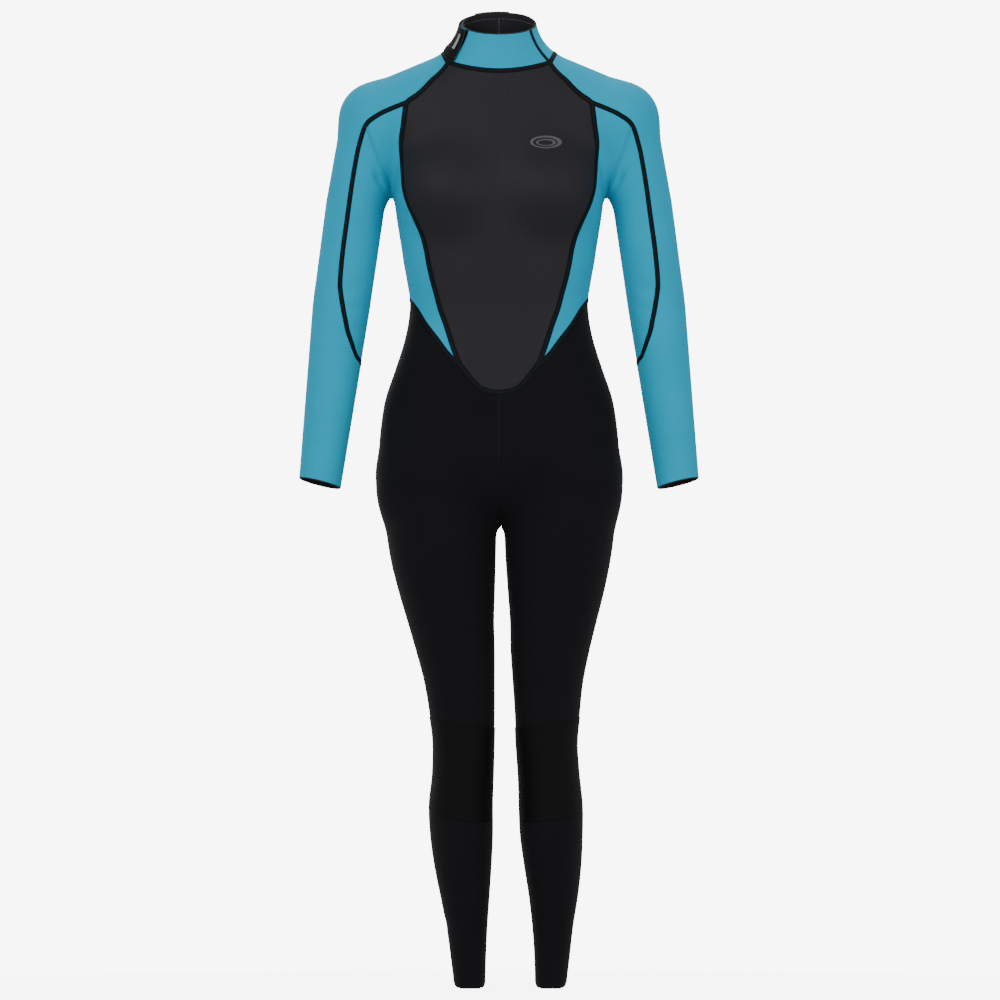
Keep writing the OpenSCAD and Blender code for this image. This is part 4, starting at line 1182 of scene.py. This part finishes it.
def pillow(low, high, round_off=0.3, power=4.0):
    """Rounded block between two corners: a cube's grid pushed towards |x|^n+|y|^n+|z|^n = 1."""
    k = np.array([-1, -0.72, 0, 0.72, 1])
    a, b = np.meshgrid(k, k, indexing="ij")
    verts, faces = [], []
    for axis in range(3):
        for sign in (-1, 1):
            f = np.empty(a.shape + (3,))
            f[..., axis], f[..., (axis + 1) % 3], f[..., (axis + 2) % 3] = sign, a, b
            q = quads(5, 5) + sum(len(v) for v in verts)
            faces.append(q[:, ::-1] if sign > 0 else q)
            verts.append(f.reshape(-1, 3))
    v = np.concatenate(verts)
    r = (np.abs(v) ** power).sum(-1, keepdims=True) ** (1 / power)
    v = mix(v, v / r, round_off * 2)
    v = v / np.abs(v).max(0)
    low, high = np.array(low, float), np.array(high, float)
    return (low + high) / 2 + v * (high - low) / 2, np.concatenate(faces)[:, ::-1]


def assembled(parts):
    """Several point and face sets as one."""
    verts, faces, start = [], [], 0
    for v, f in parts:
        verts.append(v)
        faces.append(f + start)
        start += len(v)
    return np.concatenate(verts), np.concatenate(faces)


def tube(radius, x0, x1, y, z, sides=28):
    """Round bar along x: its radius is full in the middle and eased at the ends."""
    x = np.concatenate([[x0, x0, x0 + 0.15], [x1 - 0.15, x1, x1]])
    r = radius * np.array([0, 0.86, 1, 1, 0.86, 0])
    a = np.linspace(0, 2 * np.pi, sides, endpoint=False)
    p = points(x[:, None] + 0 * a, y + r[:, None] * np.cos(a), z + r[:, None] * np.sin(a))
    return p.reshape(-1, 3), quads(6, sides, True)[:, ::-1]


def closed_up(piece):
    """Merges doubled points of a piece made of blocks and turns its faces outwards."""
    import bmesh
    shape = bmesh.new()
    shape.from_mesh(piece.data)
    bmesh.ops.remove_doubles(shape, verts=shape.verts, dist=1e-7)
    bmesh.ops.recalc_face_normals(shape, faces=shape.faces)
    shape.to_mesh(piece.data)
    shape.free()
    return piece


def zip_parts():
    for side in (1, -1):
        z = np.linspace(-6, ZIP_LENGTH + 1, 260)[:, None]
        x = side * np.linspace(1.2, 17, 22)[None]
        wave = 0.08 * np.sin(z * 2 * np.pi / 5)
        top = points(x + 0 * z, -3.95 + wave * (np.abs(x) > 6), z + 0 * x)
        tape_top = on_zip(top)
        under = on_zip(top - (0, 0.65, 0))
        rows, columns = top.shape[:2]
        skin = quads(rows, columns)
        count = rows * columns
        ring = np.concatenate([np.arange(columns), np.arange(2, rows) * columns - 1 + 0,
                               [count - 1], np.arange(count - 2, count - columns - 1, -1),
                               np.arange(rows - 2, 0, -1) * columns])
        rim = np.stack([ring, np.roll(ring, -1), np.roll(ring, -1) + count, ring + count], -1)
        faces = np.concatenate([skin, skin[:, ::-1] + count, rim[:, ::-1]])
        tape = make(mirrored("zip_woven_tape", side),
                    np.concatenate([tape_top.reshape(-1, 3), under.reshape(-1, 3)]), faces, [TAPE],
                    nodes=[mirrored("zip_tape", side)])
        closed_up(tape)
        cut_from(tape, 0.016, 0.401, 0.0064, held="laid", rests_on=["zip_flap"])
        parts = []
        for z0 in np.arange(0.5 if side > 0 else 3.0, ZIP_LENGTH - 9, 5.0):
            x0, x1 = sorted((side * 0.9, side * 3.2))
            parts.append(pillow([x0, -3.4, z0], [x1, -1.4, z0 + 2.2], 0.35))
        x0, x1 = sorted((side * 3.0, side * 4.6))
        z = np.linspace(0, ZIP_LENGTH - 5, 180)[:, None]
        a = np.linspace(0, 2 * np.pi, 12, endpoint=False)[None]
        cord = 1 + 0.08 * np.sin(z * 2 * np.pi / 2.5 + a)
        p = points((x0 + x1) / 2 + 0.8 * cord * np.cos(a), -2.8 + 1.15 * cord * np.sin(a),
                   z + 0 * a)
        parts.append((p.reshape(-1, 3), quads(len(z), 12, True)))
        v, f = assembled(parts)
        cap = np.arange(12) + len(v) - 12
        first = np.arange(12) + len(v) - len(z) * 12
        f = np.concatenate([f] + [np.stack([k[[0] * 5], k[1:11:2], k[2:12:2], k[[3, 5, 7, 9, 11]]], -1)
                                  for k in (cap[::-1], first)])
        closed_up(make(mirrored("zip_tooth_row", side), on_zip(v), f, [TOOTH],
                       nodes=[mirrored("zip_teeth", side)]))
    stops = [pillow([x, -3.95, ZIP_LENGTH - 2.6], [x + 3.3, -1.2, ZIP_LENGTH - 0.4])
             for x in (-4.6, 1.3)]
    v, f = assembled(stops)
    closed_up(make("zip_end_stops", on_zip(v), f, [METAL], nodes=["top_stops"]))
    v, f = pillow([-4.6, -3.95, -4.4], [4.6, -1, -1], 0.2)
    closed_up(make("zip_foot_stop", on_zip(v), f, [METAL], nodes=["bottom_stop"]))
    slider()
    pull()
    z = np.linspace(-14, ZIP_LENGTH + 4, 200)[:, None]
    x = np.linspace(-28, 28, 40)[None]
    p = points(x + 0 * z, -7 - 0.25 * (1 - np.cos(z / 22)) * np.exp(-(x / 16) ** 2), z + 0 * x)
    flap_under(on_zip(p), on_zip(p - (0, 1.6, 0)))


def flap_under(top, under):
    """The baffle behind the zip: two skins 1.6 mm apart and a plain rim."""
    rows, columns = top.shape[:2]
    count = rows * columns
    skin = quads(rows, columns)
    ring = np.concatenate([np.arange(columns), np.arange(2, rows + 1) * columns - 1,
                           np.arange(count - 2, count - columns - 1, -1),
                           np.arange(rows - 2, 0, -1) * columns])
    rim = np.stack([ring, np.roll(ring, -1), np.roll(ring, -1) + count, ring + count], -1)
    faces = np.concatenate([skin, skin[:, ::-1] + count, rim[:, ::-1]])
    cloth = np.stack([travel(top, 1), travel(top, 0)], -1).reshape(-1, 2)
    piece = make("zip_baffle", np.concatenate([top.reshape(-1, 3), under.reshape(-1, 3)]), faces,
                 [BLACK], uv=np.concatenate([cloth, cloth]),
                 nodes=["zip_flap"])
    closed_up(piece)
    cut_from(piece, 0.056, 0.412, 0.023, held="hung", rests_on=["back_panel_left"])


def slider():
    z = ZIP_LENGTH - 4 - 15
    shapes = []
    for low, high in (((-6.4, -1, z), (6.4, 0.6, z + 15)),
                      ((-5.6, -6.4, z + 1), (5.6, -5.1, z + 14)),
                      ((-6.4, -2.6, z + 1), (-5.2, -0.9, z + 14)),
                      ((5.2, -2.6, z + 1), (6.4, -0.9, z + 14)),
                      ((-0.5, -5.2, z + 9), (0.5, -0.9, z + 14))):
        shapes.append(pillow(low, high, 0.22, 6))
    for x in (-3.6, 2.3):
        shapes.append(pillow([x, 0.3, PIN_Z - 2], [x + 1.3, PIN_Y, PIN_Z + 2], 0.1, 8))
        shapes.append(tube(2, x, x + 1.3, PIN_Y, PIN_Z))
    shapes.append(tube(0.9, -2.5, 2.5, PIN_Y, PIN_Z, 20))
    for x in (-4.6, 3.8):
        shapes.append(pillow([x, 0.4, z + 2], [x + 0.8, 1.0, z + 13], 0.3))
    v, f = assembled(shapes)
    closed_up(make("zip_slider_body", on_zip(v), f, [METAL], body="slider",
                   nodes=["zip_slider"]))


def pull():
    """Flat pull: a plate whose half width follows its outline, an eye near its end, grip ribs."""
    low = PIN_Z - TAB_LENGTH + 4
    a = np.linspace(0, 2 * np.pi, 96, endpoint=False)
    half, middle, reach = 4.0, low + 11, 15.0
    c, s = np.cos(a), np.sin(a)
    outer = np.stack([half * np.sign(c) * np.abs(c) ** 0.5,
                      middle - 0.5 + reach * np.sign(s) * np.abs(s) ** 0.75], -1)
    eye = np.stack([1.7 * c, low + 1.7 * s], -1)
    ring = mix(eye[None], outer[None], np.linspace(0, 1, 22)[:, None, None])
    edge = np.minimum(np.linspace(0, 1, 22), 1 - np.linspace(0, 1, 22))[:, None]
    rib = 0.22 * np.clip(np.sin(ring[..., 1] * 2 * np.pi / 2.4), 0, 1) * (
        (ring[..., 1] > low + 5) & (ring[..., 1] < low + 17)) * (np.abs(ring[..., 0]) < 3.1)
    thick = 0.55 + 0.25 * np.sqrt(np.clip(edge * 12, 0, 1)) + 0 * ring[..., 0]
    front = points(ring[..., 0], PIN_Y + thick + rib, ring[..., 1])
    back = points(ring[..., 0], PIN_Y - thick, ring[..., 1])
    shell = np.concatenate([front, back[::-1]])
    p = np.concatenate([shell, shell[:1]])
    plate = (p[:-1].reshape(-1, 3), np.concatenate([
        quads(len(p) - 1, 96, True),
        np.stack([np.arange(96) + (len(p) - 2) * 96, (np.arange(96) + 1) % 96 + (len(p) - 2) * 96,
                  (np.arange(96) + 1) % 96, np.arange(96)], -1)]))
    neck_bar = pillow([-1.9, PIN_Y - 0.8, PIN_Z - 6.5], [1.9, PIN_Y + 0.8, PIN_Z - 1.1], 0.15, 8)
    x = np.linspace(-1.85, 1.85, 14)
    b = np.linspace(0, 2 * np.pi, 40, endpoint=False)
    profile = [(x[0], 0.97), (x[0], 1.7)] + [(t, 1.88) for t in x[1:-1]]
    profile += [(x[-1], 1.7), (x[-1], 0.97)] + [(t, 0.97) for t in x[-2:0:-1]]
    xs, rs = np.array(profile).T
    loop = points(xs[:, None] + 0 * b, PIN_Y + rs[:, None] * np.cos(b),
                  PIN_Z + rs[:, None] * np.sin(b))
    m = len(xs)
    i, j = np.meshgrid(np.arange(m), np.arange(40), indexing="ij")
    knuckle = (loop.reshape(-1, 3), np.stack([
        i * 40 + j, i * 40 + (j + 1) % 40, ((i + 1) % m) * 40 + (j + 1) % 40,
        ((i + 1) % m) * 40 + j], -1).reshape(-1, 4))
    v, f = assembled([plate, neck_bar, knuckle])
    closed_up(make("zip_pull_plate", on_zip(v), f, [TAB], body="pull",
                   nodes=["pull_tab"]))


# ---- stage ----------------------------------------------------------------------------------
def studio():
    """Pale round floor, white surroundings, two large soft lights and a small one from above."""
    world = bpy.data.worlds.new("white studio")
    bpy.context.scene.world = world
    world.use_nodes = True
    tree = world.node_tree
    shade = tree.nodes["Background"]
    shade.inputs["Strength"].default_value = 0.72
    backdrop = tree.nodes.new("ShaderNodeBackground")
    backdrop.inputs["Strength"].default_value = 8
    for ground in (shade, backdrop):
        ground.inputs["Color"].default_value = (1, 1, 1, 1)
    seen = tree.nodes.new("ShaderNodeLightPath")
    chosen = tree.nodes.new("ShaderNodeMixShader")
    tree.links.new(seen.outputs["Is Camera Ray"], chosen.inputs[0])
    tree.links.new(shade.outputs[0], chosen.inputs[1])
    tree.links.new(backdrop.outputs[0], chosen.inputs[2])
    tree.links.new(chosen.outputs[0], tree.nodes["World Output"].inputs["Surface"])
    a = np.linspace(0, 2 * np.pi, 128, endpoint=False)
    r = np.linspace(0.0005, 1, 24)[:, None] * 0.95
    p = points(r * np.cos(a), r * np.sin(a), 0 * r * a - 0.0006)
    mesh = bpy.data.meshes.new("studio_floor")
    mesh.from_pydata(p.reshape(-1, 3).tolist(), [], quads(24, 128, True).tolist())
    floor = bpy.data.objects.new("studio_floor", mesh)
    bpy.context.scene.collection.objects.link(floor)
    f = Finish("pale floor", Roughness=0.9, Emission_Color=(1, 1, 1, 1), Emission_Strength=6.0)
    dust = f.noise(3.0, 3.0)
    f.feed("Base Color", f.blend(dust, linear(246, 246, 246), linear(252, 252, 252)))
    mesh.materials.append(f.material)
    floor.visible_diffuse = floor.visible_glossy = False
    for name, place, size, power in (("key", (-2.2, -3.2, 2.6), 2.4, 76),
                                     ("fill", (2.6, -3.0, 1.8), 2.4, 56),
                                     ("top", (0.2, 1.4, 3.2), 1.8, 36),
                                     ("rear", (-1.6, 3.0, 1.8), 2.2, 34)):
        light = bpy.data.lights.new(name, "AREA")
        light.shape, light.size, light.energy = "DISK", size, power
        lamp = bpy.data.objects.new(name, light)
        bpy.context.scene.collection.objects.link(lamp)
        lamp.location = place
        aim = np.array([0, 0, 0.8]) - np.array(place)
        aim = aim / np.linalg.norm(aim)
        lamp.rotation_euler = (float(np.arccos(-aim[2])), 0, float(np.arctan2(-aim[0], aim[1])))
    data = bpy.data.cameras.new("front camera")
    camera = bpy.data.objects.new("front camera", data)
    bpy.context.scene.collection.objects.link(camera)
    camera.location = (0.0015, -24.0, 0.7175)
    camera.rotation_euler = (np.pi / 2, 0, 0)
    data.sensor_width, data.lens = 36, 36 * 24.0 / 1.47
    data.clip_end = 200
    bpy.context.scene.camera = camera


studio()
panels()
badge()
collar()
neck_closure()
seams()
zip_parts()
